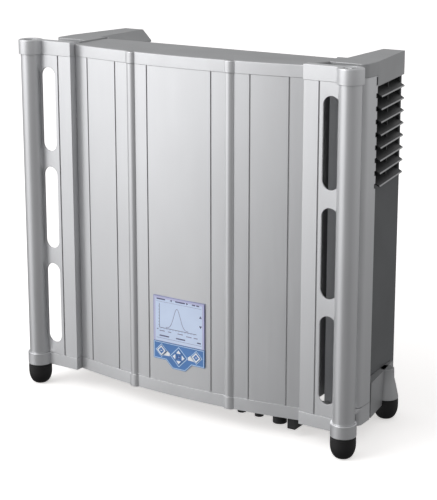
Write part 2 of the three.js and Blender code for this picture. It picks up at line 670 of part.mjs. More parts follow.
// ---------------------------------------------------------------- heat sink and back
const sinkX = panelEndX - SINK_SIDE_GAP;
const sinkFrontY = tubBackY + CLEARANCE;
const sinkTipY = rearY - SINK_BACK_GAP;
const sinkZ0 = profileBottomZ + SINK_BOTTOM_GAP;
const sinkZ1 = profileTopZ - SINK_TOP_GAP;
const finCount = Math.floor((2 * sinkX - FIN_THICKNESS) / FIN_PITCH) + 1;
const finStartX = -FIN_PITCH * (finCount - 1) / 2;
const comb = [[-sinkX, sinkFrontY], [sinkX, sinkFrontY], [sinkX, sinkFrontY + FIN_BASE]];
for (let i = finCount - 1; i >= 0; i -= 1) {
  const x = finStartX + i * FIN_PITCH;
  comb.push([x + FIN_THICKNESS / 2, sinkFrontY + FIN_BASE], [x + FIN_THICKNESS / 2, sinkTipY],
    [x - FIN_THICKNESS / 2, sinkTipY], [x - FIN_THICKNESS / 2, sinkFrontY + FIN_BASE]);
}
comb.push([-sinkX, sinkFrontY + FIN_BASE]);
add('heat_sink', planPrism(comb, sinkZ0, sinkZ1), 'raw_aluminium');

const coverFrontY = sinkTipY + CLEARANCE;
add('rear_cover', block(-panelEndX, panelEndX, coverFrontY, coverFrontY + COVER_THICKNESS, sinkZ0, sinkZ1),
  'duct_grey');

// The hanging rail carries the inverter on a wall; two slots take the wall screws.
const railZ0 = sinkZ1 - RAIL_DROP;
const railZ1 = railZ0 + RAIL_HEIGHT;
const railFrontY = coverFrontY + COVER_THICKNESS + CLEARANCE;
const railSlotX = panelEndX - 58;
const railSlotZ = (railZ0 + railZ1) / 2;
const railSlots = [-railSlotX, railSlotX].map((x) => block(
  x - RAIL_SLOT_WIDTH / 2, x + RAIL_SLOT_WIDTH / 2, railFrontY - PASS, rearY + PASS,
  railSlotZ - RAIL_SLOT_HEIGHT / 2, railSlotZ + RAIL_SLOT_HEIGHT / 2,
));
add('hanging_rail', cut(block(-sinkX, sinkX, railFrontY, rearY, railZ0, railZ1), ...railSlots), 'steel');

// ---------------------------------------------------------------- fans
const fanX0 = ductInnerX + DUCT_WALL + CLEARANCE;
const fanX1 = fanX0 + FAN_DEPTH;
const fanHalf = FAN_SIZE / 2;
const fanBore = fanHalf - 2;
const hubRadius = 17;
const motorX1 = fanX0 + FAN_DEPTH / 5;
const strut = (angle) => block(fanX0, fanX0 + 3, -2, 2, hubRadius - 6, fanBore + 1)
  .rotateX(angle).translate(0, fanY, fanZ);
const fanFrame = join(
  cut(
    block(fanX0, fanX1, fanY - fanHalf, fanY + fanHalf, fanZ - fanHalf, fanZ + fanHalf),
    rodAlongX(fanX0 - PASS, fanX1 + PASS, fanY, fanZ, fanBore, 40),
  ),
  rodAlongX(fanX0, motorX1, fanY, fanZ, hubRadius, 28),
  ...[0, 1, 2].map((i) => strut(2 * Math.PI * i / 3)),
);
addPair('fan_frame', fanFrame, 'black_plastic');

const hubX0 = motorX1 + 0.6;
const hubX1 = fanX1 - 1.5;
function blade(index) {
  const span = fanBore - FAN_TIP_GAP - (hubRadius - 2);
  const plate = new THREE.BoxGeometry(2, 18, span, 1, 1, 3);
  const twist = plate.attributes.position;
  for (let i = 0; i < twist.count; i += 1) {
    const angle = 0.75 - 0.4 * (twist.getZ(i) / span + 0.5);
    const [x, y] = [twist.getX(i), twist.getY(i)];
    twist.setX(i, x * Math.cos(angle) - y * Math.sin(angle));
    twist.setY(i, x * Math.sin(angle) + y * Math.cos(angle));
  }
  return plate
    .translate((hubX0 + hubX1) / 2, 0, hubRadius - 2 + span / 2)
    .rotateX(2 * Math.PI * index / BLADE_COUNT)
    .translate(0, fanY, fanZ);
}
const rotorPieces = [rodAlongX(hubX0, hubX1, fanY, fanZ, hubRadius, 28)];
for (let i = 0; i < BLADE_COUNT; i += 1) rotorPieces.push(blade(i));
addPair('fan_rotor', join(...rotorPieces), 'black_plastic');

// ---------------------------------------------------------------- display and keypad
const screenTopZ = profileBottomZ + DISPLAY_TOP;
const screenBottomZ = screenTopZ - SCREEN_HEIGHT;
const keypadBottomZ = screenBottomZ - KEYPAD_HEIGHT;
const displayHalf = DISPLAY_WIDTH / 2;
const filmBackY = bowY(0) - CLEARANCE;
const filmY = filmBackY - 1;

// The clear window stands on the panel around the screen.
add('display_window', block(
  -displayHalf, displayHalf, filmY, filmBackY, screenBottomZ + CLEARANCE, screenTopZ,
), 'clear_window');

const boardY = columnY + 12;
const moduleInset = WINDOW_MARGIN + 1.5;
add('lcd_module', block(
  -displayHalf + moduleInset, displayHalf - moduleInset, filmBackY + 1, boardY - CLEARANCE,
  screenBottomZ + moduleInset, screenTopZ - moduleInset,
), 'screen');

// Centres of the keys in (x, z) and their shapes: two side keys and a round of four arrows.
const keyZ = keypadBottomZ + 14.5;
const diamondZ = keyZ - 5.4;
const keyDepthY0 = filmY - 0.8;
const keyDepthY1 = boardY - KEY_TRAVEL - CLEARANCE;

function diamond(x, z, half) {
  return [[x - half, z], [x, z - half], [x + half, z], [x, z + half]];
}

function keySolid(points) {
  return depthPrism(points, keyDepthY0, keyDepthY1);
}

const sideKeyHalf = 9;
const sideKeyX = displayHalf - 15;
const arrowReach = 14;
const arrowGap = 1.2;
const arrows = [];
for (const [name, turn] of [['key_up', 0], ['key_left', 1], ['key_down', 2], ['key_right', 3]]) {
  const angle = turn * Math.PI / 2;
  const wedge = [[0, arrowGap], [-(arrowReach / 2 - arrowGap), arrowReach / 2],
    [0, arrowReach - arrowGap], [arrowReach / 2 - arrowGap, arrowReach / 2]];
  arrows.push([name, wedge.map(([x, z]) => [
    x * Math.cos(angle) - z * Math.sin(angle), diamondZ + x * Math.sin(angle) + z * Math.cos(angle),
  ])]);
}
const sideKeys = [
  ['key_menu', diamond(-sideKeyX, keyZ, sideKeyHalf)],
  ['key_enter', diamond(sideKeyX, keyZ, sideKeyHalf)],
];
const keyShapes = [...arrows, ...sideKeys];

// A key outline grown by the clearance it needs in the film.
function grown(points, amount) {
  const middle = points.reduce(([a, b], [x, z]) => [a + x / points.length, b + z / points.length], [0, 0]);
  return points.map(([x, z]) => {
    const away = Math.hypot(x - middle[0], z - middle[1]);
    return [x + (x - middle[0]) * amount / away, z + (z - middle[1]) * amount / away];
  });
}

const lobeTop = 24;
const lobeFoot = 12;
const keypadFilm = depthPrism([
  [-displayHalf, screenBottomZ], [-displayHalf, keypadBottomZ], [-lobeTop, keypadBottomZ],
  [-lobeFoot, keypadBottomZ - KEYPAD_LOBE], [lobeFoot, keypadBottomZ - KEYPAD_LOBE],
  [lobeTop, keypadBottomZ], [displayHalf, keypadBottomZ], [displayHalf, screenBottomZ],
], filmY, filmBackY);
const keyHoleGap = 0.45;
const keyHoles = keyShapes.map(([, points]) => (
  depthPrism(grown(points, keyHoleGap), filmY - PASS, filmY + 4 * PASS)
));
add('keypad_film', cut(keypadFilm, ...keyHoles), 'blue_film');
for (const [name, points] of keyShapes) add(name, keySolid(points), 'key_blue');

// The screen is seen through an opening in the middle panel, and the keys pass through it.
const screenOpening = block(
  -displayHalf + WINDOW_MARGIN, displayHalf - WINDOW_MARGIN, filmY - PASS, filmY + 4 * PASS,
  screenBottomZ + WINDOW_MARGIN, screenTopZ - WINDOW_MARGIN,
);
add('front_panel_center', cut(centerPanel, screenOpening, ...keyHoles), 'silver');

// ---------------------------------------------------------------- underside entries
function gland({ x, radius }, flange, drop) {
  return join(
    rod(x, entryY, tubZ0 - CLEARANCE - NUT_HEIGHT, tubZ0 - CLEARANCE, flange, 6),
    rod(x, entryY, tubZ0 - drop, tubZ0 - 4, radius + 1, 24),
    rod(x, entryY, tubZ0 - 4, entryThroughZ + 8, radius - CLEARANCE, 24),
  );
}
const glandDrop = profileBottomZ - GLAND_GROUND_GAP;
add('mains_gland', gland(entries.mains, 13, glandDrop), 'black_plastic');
add('string_connector_plus', gland(entries.plus, 9, glandDrop - 2), 'black_plastic');
add('string_connector_minus', gland(entries.minus, 9, glandDrop - 2), 'black_plastic');

const isolatorX = entries.isolator.x;
const spindleRadius = entries.isolator.radius - CLEARANCE;
const spindle = rod(isolatorX, entryY, tubZ0 - 6, entryThroughZ + 12, spindleRadius, 20);
const gripZ0 = profileBottomZ - glandDrop;
add('isolator_knob', join(
  rod(isolatorX, entryY, tubZ0 - 14, tubZ0 - CLEARANCE - 0.5, KNOB_RADIUS, 32),
  block(isolatorX - KNOB_GRIP / 2, isolatorX + KNOB_GRIP / 2, entryY - KNOB_RADIUS, entryY + KNOB_RADIUS,
    gripZ0, tubZ0 - 13),
  spindle,
), 'black_plastic');
const isolatorBodyZ = entryThroughZ + CLEARANCE;
add('isolator_body', cut(
  block(isolatorX - 16, panelEndX - TUB_WALL - CLEARANCE, entryY - 16, entryY + 24,
    isolatorBodyZ, isolatorBodyZ + 45),
  rod(isolatorX, entryY, isolatorBodyZ - PASS, entryThroughZ + 13, entries.isolator.radius + 0.2, 24),
), 'black_plastic');

// ---------------------------------------------------------------- inside the tub
const wallY = tubBackY - TUB_WALL - CLEARANCE;
const powerBoardY1 = wallY - MODULE_DEPTH - CLEARANCE;
const powerBoardY0 = powerBoardY1 - BOARD_THICKNESS;
const powerBoardX = panelEndX - 48;
const powerBoardZ0 = profileBottomZ + 76;
const powerBoardZ1 = profileTopZ - 31;
const powerMiddleZ = (powerBoardZ0 + powerBoardZ1) / 2;
add('power_board', block(-powerBoardX, powerBoardX, powerBoardY0, powerBoardY1, powerBoardZ0, powerBoardZ1),
  'circuit_board');
const moduleHalf = 60;
add('transistor_module', block(-moduleHalf, moduleHalf, powerBoardY1 + CLEARANCE, wallY,
  powerMiddleZ + 30, powerMiddleZ + 90), 'black_plastic');
const partBackY = powerBoardY0 - CLEARANCE;
for (let i = 0; i < 2; i += 1) {
  const x = (2 * i - 1) * 2 * CAPACITOR_RADIUS;
  add(`link_capacitor_${i + 1}`, rodAlongY(x, partBackY - CAPACITOR_LENGTH, partBackY, powerMiddleZ - 10,
    CAPACITOR_RADIUS, 28), 'steel');
}
const choke = new THREE.TorusGeometry(CHOKE_RADIUS, CHOKE_WINDING, 12, 28).rotateX(Math.PI / 2)
  .translate(-60, partBackY - CHOKE_WINDING - 1, powerMiddleZ - 110);
add('boost_choke', choke, 'copper');

const controlThickness = 1.6;
const controlHalf = displayHalf + 22.5;
add('control_board', block(
  -controlHalf, controlHalf, boardY, boardY + controlThickness, diamondZ - arrowReach - 16, screenTopZ + 40,
), 'circuit_board');
const terminalZ = entryThroughZ + 12;
function terminals(x0, x1) {
  return block(x0, x1, wallY - TERMINAL_DEPTH, wallY, terminalZ, terminalZ + TERMINAL_HEIGHT);
}
add('mains_terminals', terminals(entries.mains.x - 28, entries.mains.x + 4), 'black_plastic');
add('panel_terminals', terminals(-panelEndX + 30, -panelEndX + 120), 'black_plastic');

export default group;
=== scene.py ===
# %% [markdown]
# # A string inverter, finished piece by piece
# The frame of this object is already made: every node has its true size and place. This lesson
# gives each visible piece its final surface. It reads all its places from the frame, so nothing
# here is fitted by eye, and every new piece rides on the body that it belongs to.

# %% Load the frame
import math

import bmesh
import bpy
from mathutils import Matrix, Vector


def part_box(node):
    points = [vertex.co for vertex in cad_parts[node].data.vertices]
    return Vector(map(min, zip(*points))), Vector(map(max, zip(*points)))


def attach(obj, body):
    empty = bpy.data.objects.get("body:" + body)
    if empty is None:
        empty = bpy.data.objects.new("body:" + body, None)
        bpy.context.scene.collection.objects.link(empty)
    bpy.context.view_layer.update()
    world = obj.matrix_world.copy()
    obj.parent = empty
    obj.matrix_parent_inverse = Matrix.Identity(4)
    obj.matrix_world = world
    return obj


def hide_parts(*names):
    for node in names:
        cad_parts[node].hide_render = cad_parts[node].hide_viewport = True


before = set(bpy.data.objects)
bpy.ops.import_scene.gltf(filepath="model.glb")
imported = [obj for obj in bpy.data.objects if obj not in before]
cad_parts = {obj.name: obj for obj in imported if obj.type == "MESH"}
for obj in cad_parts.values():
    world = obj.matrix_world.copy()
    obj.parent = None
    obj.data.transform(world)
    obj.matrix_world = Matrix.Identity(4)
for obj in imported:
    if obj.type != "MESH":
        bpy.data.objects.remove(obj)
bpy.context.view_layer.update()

MM = 0.001

# %% [markdown]
# ## Places
# The whole front is described by a few numbers: where the columns stand, how the front bows, and
# where the tapering sides begin and end. They are read from the boxes of the nodes, so the pieces
# below follow the frame if the frame changes.

# %% Read the places
column_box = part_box("handle_column_right")
cap_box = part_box("top_corner_cap_right")
foot_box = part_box("foot_front_right")
rear_foot_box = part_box("foot_rear_right")
casting_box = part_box("base_casting_right")
center_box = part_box("front_panel_center")
side_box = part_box("front_panel_right")
rib_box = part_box("panel_rib_right")
top_trim_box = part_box("top_trim")
bottom_trim_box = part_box("bottom_trim")
deck_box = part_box("top_deck")
profile_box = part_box("side_profile_right")
duct_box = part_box("side_duct_right")
louvre_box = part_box("louvre_right")
hood_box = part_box("rear_hood_right")
bracket_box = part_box("rear_foot_bracket_right")
window_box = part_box("display_window")
film_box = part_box("keypad_film")

column_x = (foot_box[0].x + foot_box[1].x) / 2
column_y = (foot_box[0].y + foot_box[1].y) / 2
rear_foot_x = (rear_foot_box[0].x + rear_foot_box[1].x) / 2
rear_foot_y = (rear_foot_box[0].y + rear_foot_box[1].y) / 2
cap_radius = cap_box[1].x - column_x
tube_radius = column_box[1].x - column_x
panel_thickness = 3 * MM
plate_setback = 3.2 * MM   # from the column's axis back to its plate
seam = 1.3 * MM            # from the bowed front to the parts beside it
hair = 0.01 * MM           # too small to see, but it keeps two faces apart
crown_y = center_box[0].y
end_x = side_box[1].x
end_y = side_box[1].y - panel_thickness
plate_y = column_y + plate_setback
print("columns at", round(column_x, 4), round(column_y, 4), "crown at", round(crown_y, 4))


def bow(x):
    """Front surface of the bowed front, at a distance from the middle."""
    return crown_y + (end_y - crown_y) * (x / end_x) ** 2


# %% [markdown]
# ## Helpers
# A piece starts as a box, an outline or a few vertices, and is then sliced, pushed, bevelled or
# spun. The helpers keep those steps short. `settle` turns a finished bmesh into an object: it
# points the faces outwards, marks hard edges, ties the piece to its body and hides the nodes that
# it stands for.

# %% Starting shapes
def cube(bm, lo, hi):
    made = bmesh.ops.create_cube(bm, size=1.0)["verts"]
    low, high = Vector(lo), Vector(hi)
    bmesh.ops.scale(bm, vec=high - low, verts=made)
    bmesh.ops.translate(bm, vec=(low + high) / 2, verts=made)


def corner_at(bm, x, y, z):
    return bmesh.ops.create_vert(bm, co=(x, y, z))["vert"][0]


def verts_in(geometry):
    return [part for part in geometry if isinstance(part, bmesh.types.BMVert)]


def spun(bm, outline, x, y, steps):
    """Turns an outline of (radius, height) pairs about an upright axis."""
    corners = [corner_at(bm, x + r, y, z) for r, z in outline]
    edges = [bm.edges.new(pair) for pair in zip(corners, corners[1:])]
    bmesh.ops.spin(
        bm, geom=corners + edges, cent=(x, y, 0), axis=(0, 0, 1), angle=2 * math.pi, steps=steps,
        use_merge=True,
    )
    bmesh.ops.remove_doubles(bm, verts=bm.verts, dist=1e-6)


# %% Cuts and bevels
def bisect(bm, at, normal, drop_outer=False):
    everything = bm.verts[:] + bm.edges[:] + bm.faces[:]
    bmesh.ops.bisect_plane(
        bm, geom=everything, plane_co=at, plane_no=normal, clear_outer=drop_outer, dist=1e-7,
    )


def slice_across(bm, axis, places):
    for place in places:
        at, normal = Vector(), Vector()
        at[axis], normal[axis] = place, 1
        bisect(bm, at, normal)


def cut_away(bm, at, normal):
    """Slices a closed shape, drops the side that the normal points to, and closes the cut."""
    bisect(bm, at, normal, drop_outer=True)
    bmesh.ops.holes_fill(bm, edges=bm.edges, sides=0)


def hard_edges(bm, angle=30):
    limit = math.radians(angle)
    return [e for e in bm.edges if len(e.link_faces) == 2 and e.calc_face_angle(0) > limit]


def round_edges(bm, width, segments=2, edges=None):
    bmesh.ops.bevel(
        bm, geom=hard_edges(bm) if edges is None else edges, offset=width, segments=segments,
        profile=0.5, affect="EDGES", material=-1, clamp_overlap=True,
    )


def push_faces(bm, faces, move):
    raised = bmesh.ops.extrude_face_region(bm, geom=faces)["geom"]
    bmesh.ops.translate(bm, vec=move, verts=verts_in(raised))


def front_top_edges(bm, front, top):
    """The edges along the front of the top face."""
    return [
        e for e in bm.edges
        if all(v.co.z > top - MM and v.co.y < front + MM for v in e.verts)
    ]


def raise_outline(bm, points, z0, z1):
    """A plan outline of a few corners, filled and raised from one level to another."""
    corners = [corner_at(bm, x, y, z0) for x, y in points]
    push_faces(bm, [bm.faces.new(corners)], (0, 0, z1 - z0))


def absorb(bm, other):
    mesh = bpy.data.meshes.new("absorbed")
    other.to_mesh(mesh)
    other.free()
    bm.from_mesh(mesh)
    bpy.data.meshes.remove(mesh)


# %% Square grooves, down the sheets and the handle plates
groove_half = 1.1 * MM
groove_depth = 1.6 * MM


def grooved_outline(x0, x1, thickness, grooves):
    """Plan of a flat sheet whose front face has square grooves."""
    points = [(x0, thickness), (x0, 0)]
    for groove in sorted(grooves):
        left, right = groove - groove_half, groove + groove_half
        points += [(left, 0), (left, groove_depth), (right, groove_depth), (right, 0)]
    return points + [(x1, 0), (x1, thickness)]


# The floor of each groove takes a darker copy of the anodised finish: painted shade in the recess.
def paint_shade_on_groove_floors(bm, front):
    floor_y = front + groove_depth
    for face in bm.faces:
        if face.normal.y < -0.9 and abs(face.calc_center_median().y - floor_y) < hair:
            face.material_index = 1


# %% Turning a bmesh into a piece
def mirrored(bm):
    twin = bm.copy()
    bmesh.ops.scale(twin, vec=(-1, 1, 1), verts=twin.verts)
    bmesh.ops.reverse_faces(twin, faces=twin.faces)
    return twin


def settle(bm, name, material, body="cabinet", stands_for=(), hard=40):
    bmesh.ops.remove_doubles(bm, verts=bm.verts, dist=2e-6)
    bmesh.ops.recalc_face_normals(bm, faces=bm.faces)
    mesh = bpy.data.meshes.new(name + "_shell")
    bm.to_mesh(mesh)
    bm.free()
    mesh.polygons.foreach_set("use_smooth", [True] * len(mesh.polygons))
    mesh.set_sharp_from_angle(angle=math.radians(hard))
    for finish in material if isinstance(material, tuple) else (material,):
        mesh.materials.append(finish)
    piece = bpy.data.objects.new(name + "_shell", mesh)
    bpy.context.scene.collection.objects.link(piece)
    flats = piece.modifiers.new("flat_faces_stay_flat", "WEIGHTED_NORMAL")
    flats.keep_sharp = True
    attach(piece, body)
    if stands_for:
        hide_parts(*stands_for)
    return piece


def settle_pair(bm, name, material, node=None, hard=40):
    twin = mirrored(bm)
    for half, side in ((bm, "right"), (twin, "left")):
        nodes = (f"{node}_{side}",) if node else ()
        settle(half, f"{name}_{side}", material, stands_for=nodes, hard=hard)


# %% [markdown]
# ## Finishes
# The case is anodised aluminium: an extruded profile has very fine lines along its length, which
# show as a slight stretch in the highlights. A noise that is squeezed across and drawn out along Z
# drives both the roughness and a faint bump. Painted sheet has a fine pebble instead, and moulded
# plastic a leathery grain. Every pattern reads Object coordinates, so it stays on the metal.

# %% Material helper
def start_material(name, color, metallic, roughness):
    material = bpy.data.materials.new(name)
    material.use_nodes = True
    nodes = material.node_tree.nodes
    shader = nodes["Principled BSDF"]
    shader.inputs["Base Color"].default_value = (*color, 1)
    shader.inputs["Metallic"].default_value = metallic
    shader.inputs["Roughness"].default_value = roughness
    material.diffuse_color = (*color, 1)
    return material, nodes, material.node_tree.links, shader


def pattern(nodes, links, stretch, scale, detail):
    place = nodes.new("ShaderNodeTexCoord")
    mapping = nodes.new("ShaderNodeMapping")
    mapping.inputs["Scale"].default_value = stretch
    noise = nodes.new("ShaderNodeTexNoise")
    noise.inputs["Scale"].default_value = scale
    noise.inputs["Detail"].default_value = detail
    links.new(place.outputs["Object"], mapping.inputs["Vector"])
    links.new(mapping.outputs["Vector"], noise.inputs["Vector"])
    return noise.outputs["Fac"]


def spread(nodes, links, source, low, high):
    ranged = nodes.new("ShaderNodeMapRange")
    ranged.inputs["From Min"].default_value = 0.3
    ranged.inputs["From Max"].default_value = 0.7
    ranged.inputs["To Min"].default_value = low
    ranged.inputs["To Max"].default_value = high
    links.new(source, ranged.inputs["Value"])
    return ranged.outputs["Result"]


def tint(nodes, links, source, dark, light):
    ramp = nodes.new("ShaderNodeValToRGB")
    ramp.color_ramp.elements[0].position = 0.3
    ramp.color_ramp.elements[0].color = (*dark, 1)
    ramp.color_ramp.elements[1].position = 0.7
    ramp.color_ramp.elements[1].color = (*light, 1)
    links.new(source, ramp.inputs["Fac"])
    return ramp.outputs["Color"]


def bumped(nodes, links, shader, source, strength, distance):
    bump = nodes.new("ShaderNodeBump")
    bump.inputs["Strength"].default_value = strength
    bump.inputs["Distance"].default_value = distance
    links.new(source, bump.inputs["Height"])
    links.new(bump.outputs["Normal"], shader.inputs["Normal"])


def shade(color, factor):
    return tuple(min(1, c * factor) for c in color)


# %% Anodised aluminium, with extrusion lines along Z
def anodised(name, color, roughness, metallic=0.85, line_bump=0.06):
    material, nodes, links, shader = start_material(name, color, metallic, roughness)
    lines = pattern(nodes, links, stretch=(1, 1, 0.012), scale=900, detail=2)
    cloud = pattern(nodes, links, stretch=(1, 1, 0.5), scale=9, detail=3)
    tone = tint(nodes, links, cloud, shade(color, 0.965), shade(color, 1.03))
    gloss = spread(nodes, links, lines, roughness - 0.05, roughness + 0.06)
    links.new(tone, shader.inputs["Base Color"])
    links.new(gloss, shader.inputs["Roughness"])
    bumped(nodes, links, shader, lines, strength=line_bump, distance=0.08 * MM)
    return material


# %% Painted sheet and castings, with a fine pebble
def painted(name, color, roughness, metallic=0.0, pebble=0.15, size=1400):
    material, nodes, links, shader = start_material(name, color, metallic, roughness)
    grain = pattern(nodes, links, stretch=(1, 1, 1), scale=size, detail=2)
    cloud = pattern(nodes, links, stretch=(1, 1, 1), scale=14, detail=3)
    tone = tint(nodes, links, cloud, shade(color, 0.93), shade(color, 1.05))
    gloss = spread(nodes, links, grain, roughness - 0.05, roughness + 0.07)
    links.new(tone, shader.inputs["Base Color"])
    links.new(gloss, shader.inputs["Roughness"])
    bumped(nodes, links, shader, grain, strength=pebble, distance=0.12 * MM)
    return material


silver = anodised("anodised_silver", (0.73, 0.735, 0.745), 0.34)
# A darker copy of the anodised finish for the groove floors: painted shade in the narrow grooves.
groove_painted_shade = anodised("groove_floor_painted_shade", (0.42, 0.42, 0.425), 0.5)
cast_silver = painted("cast_silver", (0.74, 0.745, 0.755), 0.38, metallic=0.85, pebble=0.06)
dark_silver = painted("dark_silver_paint", (0.45, 0.455, 0.46), 0.42, metallic=0.6, pebble=0.12)
duct_grey = painted("duct_grey_paint", (0.145, 0.15, 0.154), 0.55, metallic=0.15, pebble=0.15)
tub_grey = painted("tub_grey_paint", (0.55, 0.555, 0.56), 0.55, metallic=0.2, pebble=0.12)
black_plastic = painted("black_moulded_plastic", (0.014, 0.014, 0.015), 0.42, pebble=0.25, size=900)
slat_grey = painted("louvre_slat_grey", (0.042, 0.043, 0.044), 0.42, pebble=0.15)
# Pale finish for the louvre lips: a painted highlight on the rounded edge of the black plastic.
lip_highlight_paint = painted("louvre_lip_painted_highlight", (0.50, 0.505, 0.51), 0.42, metallic=0.4, pebble=0.1)
rubber = painted("black_rubber", (0.007, 0.0065, 0.007), 0.58, pebble=0.3, size=700)
bare_aluminium = anodised("bare_aluminium", (0.55, 0.56, 0.57), 0.42, metallic=0.95, line_bump=0.15)
steel = anodised("zinc_steel", (0.52, 0.525, 0.53), 0.33, metallic=0.95)
board_green = painted("circuit_board_green", (0.02, 0.11, 0.045), 0.4, pebble=0.1)
copper = painted("enamelled_copper", (0.45, 0.17, 0.06), 0.35, metallic=0.8, pebble=0.2)


# %% Screen, film and ink
def glossy(name, color, roughness, coat=1.0, variation=0.03):
    material, nodes, links, shader = start_material(name, color, 0, roughness)
    cloud = pattern(nodes, links, stretch=(1, 1, 1), scale=25, detail=2)
    tone = tint(nodes, links, cloud, shade(color, 1 - variation), shade(color, 1 + variation))
    gloss = spread(nodes, links, cloud, roughness, roughness + 0.04)
    links.new(tone, shader.inputs["Base Color"])
    links.new(gloss, shader.inputs["Roughness"])
    shader.inputs["Coat Weight"].default_value = coat
    shader.inputs["Coat Roughness"].default_value = 0.05
    return material


screen_blue = glossy("screen_lavender", (0.66, 0.77, 0.98), 0.35, coat=0.6)
border_violet = glossy("screen_border_violet", (0.56, 0.57, 0.80), 0.35, coat=0.5)
ink = glossy("screen_ink", (0.09, 0.09, 0.20), 0.4, coat=0.3)
faint_ink = glossy("screen_faint_ink", (0.25, 0.25, 0.40), 0.4, coat=0.3)
bezel_violet = glossy("bezel_violet_grey", (0.34, 0.36, 0.60), 0.4, coat=0.3)
film_blue = glossy("keypad_film_blue", (0.09, 0.23, 0.535), 0.35, coat=0.4, variation=0.08)
line_blue = glossy("keypad_outline_blue", (0.58, 0.76, 0.96), 0.4, coat=0.3)
key_white = glossy("key_white", (0.90, 0.93, 0.97), 0.4, coat=0.3)
key_deep_blue = glossy("key_deep_blue", (0.07, 0.12, 0.38), 0.4, coat=0.4)
print("materials", len(bpy.data.materials))

# %% [markdown]
# ## Bowed front
# Three aluminium sheets make the front, and each is bent to one long shallow curve. The easy way
# to bend a sheet is to make it flat, with its grooves and rounded edges, cut it across every few
# millimetres, and move each corner back by what the curve says at its place.

# %% Panels and ribs
panel_z0, panel_z1 = center_box[0].z, center_box[1].z
rib_x = (rib_box[0].x + rib_box[1].x) / 2
rib_width = rib_box[1].x - rib_box[0].x
rib_height = 4.6 * MM
rib_gap = 0.2 * MM
bend_step = 8 * MM


def bend(bm, x0, x1):
    cuts = int((x1 - x0) / bend_step)
    slice_across(bm, 0, [x0 + (x1 - x0) * i / cuts for i in range(1, cuts)])
    for corner in bm.verts:
        corner.co.y += bow(corner.co.x)


def bowed_sheet(x0, x1, grooves):
    bm = bmesh.new()
    raise_outline(bm, grooved_outline(x0, x1, panel_thickness, grooves), panel_z0, panel_z1)
    bmesh.ops.recalc_face_normals(bm, faces=bm.faces)
    paint_shade_on_groove_floors(bm, 0)
    round_edges(bm, 0.2 * MM)
    bend(bm, x0, x1)
    return bm


center_groove_x = rib_x - 31.3 * MM
side_groove_x = (rib_x + 32.5 * MM, end_x - 26.1 * MM)
center_panel = bowed_sheet(center_box[0].x, center_box[1].x, (-center_groove_x, center_groove_x))
settle(
    center_panel, "front_panel_center", (silver, groove_painted_shade), stands_for=("front_panel_center",),
)
side_panel = bowed_sheet(side_box[0].x, end_x, side_groove_x)
settle_pair(side_panel, "front_panel", (silver, groove_painted_shade), "front_panel")


def bead(bm, x, width, height, z0, z1, front=0.0):
    """A rounded bead whose back half lies in the sheet that it covers."""
    rim = bmesh.ops.create_circle(bm, cap_ends=True, segments=48, radius=width / 2)["verts"]
    bmesh.ops.scale(bm, vec=(1, 2 * height / width, 1), verts=rim)
    bmesh.ops.translate(bm, vec=(x, front, z0), verts=rim)
    push_faces(bm, [rim[0].link_faces[0]], (0, 0, z1 - z0))


rib = bmesh.new()
bead(rib, rib_x, rib_width, rib_height, panel_z0, panel_z1)
cut_away(rib, (0, -rib_gap, 0), (0, 1, 0))
bend(rib, rib_x - rib_width, rib_x + rib_width)
settle_pair(rib, "panel_rib", silver, "panel_rib", hard=50)
print("panels from", round(panel_z0, 4), "to", round(panel_z1, 4))

# %% [markdown]
# ## Trim bands and deck
# A cast band closes the sheets at each end. It follows the same curve, a millimetre proud, and it
# swells over each rib. The band and its two swellings are closed shapes that meet in one mesh.

# %% Trim bands
soft_edge = 0.8 * MM    # where the top of a casting meets its front
crisp_edge = 0.4 * MM   # on its other edges
swell_margin = 1 * MM


def trim_band(box, name, rounded_top):
    bm = bmesh.new()
    z0, z1 = box[0].z, box[1].z
    front, back = -1 * MM, 4 * MM
    cube(bm, (-end_x, front, z0), (end_x, back, z1))
    if rounded_top:
        round_edges(bm, soft_edge, 3, front_top_edges(bm, front, z1))
    round_edges(bm, crisp_edge)
    bmesh.ops.remove_doubles(bm, verts=bm.verts, dist=1e-7)
    for side in (-1, 1):
        swell = bmesh.new()
        bead(swell, side * rib_x, rib_width + 2 * swell_margin, rib_height, z0, z1, front)
        round_edges(swell, soft_edge if rounded_top else crisp_edge, 3, hard_edges(swell, 60))
        absorb(bm, swell)
    bend(bm, -end_x, end_x)
    settle(bm, name, cast_silver, stands_for=(name,))


trim_band(top_trim_box, "top_trim", True)
trim_band(bottom_trim_box, "bottom_trim", False)

# %% Deck
deck = bmesh.new()
deck_front = 4.3 * MM
deck_step_y = end_y + panel_thickness + seam
deck_cuts = 52
cube(deck, (-end_x, deck_front, deck_box[0].z), (end_x, deck_box[1].y, deck_box[1].z))
slice_across(deck, 0, [-end_x + 2 * end_x * i / deck_cuts for i in range(1, deck_cuts)])
for corner in deck.verts:
    if abs(corner.co.y - deck_front) < 1e-6:
        corner.co.y += bow(corner.co.x)
for side in (-1, 1):
    x0, x1 = sorted((side * (end_x + 2 * hair), side * deck_box[1].x))
    cube(deck, (x0, deck_step_y, deck_box[0].z), (x1, deck_box[1].y, deck_box[1].z))
settle(deck, "top_deck", dark_silver, stands_for=("top_deck",))

# %% [markdown]
# ## Handle columns
# Each column is one extrusion: a round tube with a flat plate beside it, and three long slots for
# the fingers are milled through the plate. The rims of the slots are short spins, a filled outline
# with holes makes the plate, and a small bevel softens every milled rim.

# %% Plate with slots
def stadium(bm, x0, x1, z0, z1, y):
    """A closed slot outline: two straight sides joined by two half rounds, spun from a corner."""
    radius, middle = (x1 - x0) / 2, (x0 + x1) / 2
    before = set(bm.edges)
    for x, z in ((x1, z1 - radius), (x0, z0 + radius)):
        start, center = [corner_at(bm, x, y, z)], (middle, y, z)
        bmesh.ops.spin(bm, geom=start, cent=center, axis=(0, -1, 0), angle=math.pi, steps=14)
    rims = [e for e in bm.edges if e not in before]
    loose = sorted(
        {v for e in rims for v in e.verts if sum(edge in rims for edge in v.link_edges) == 1},
        key=lambda v: (round(v.co.x, 5), v.co.z),
    )
    rims += [bm.edges.new(loose[:2]), bm.edges.new(loose[2:])]
    return rims


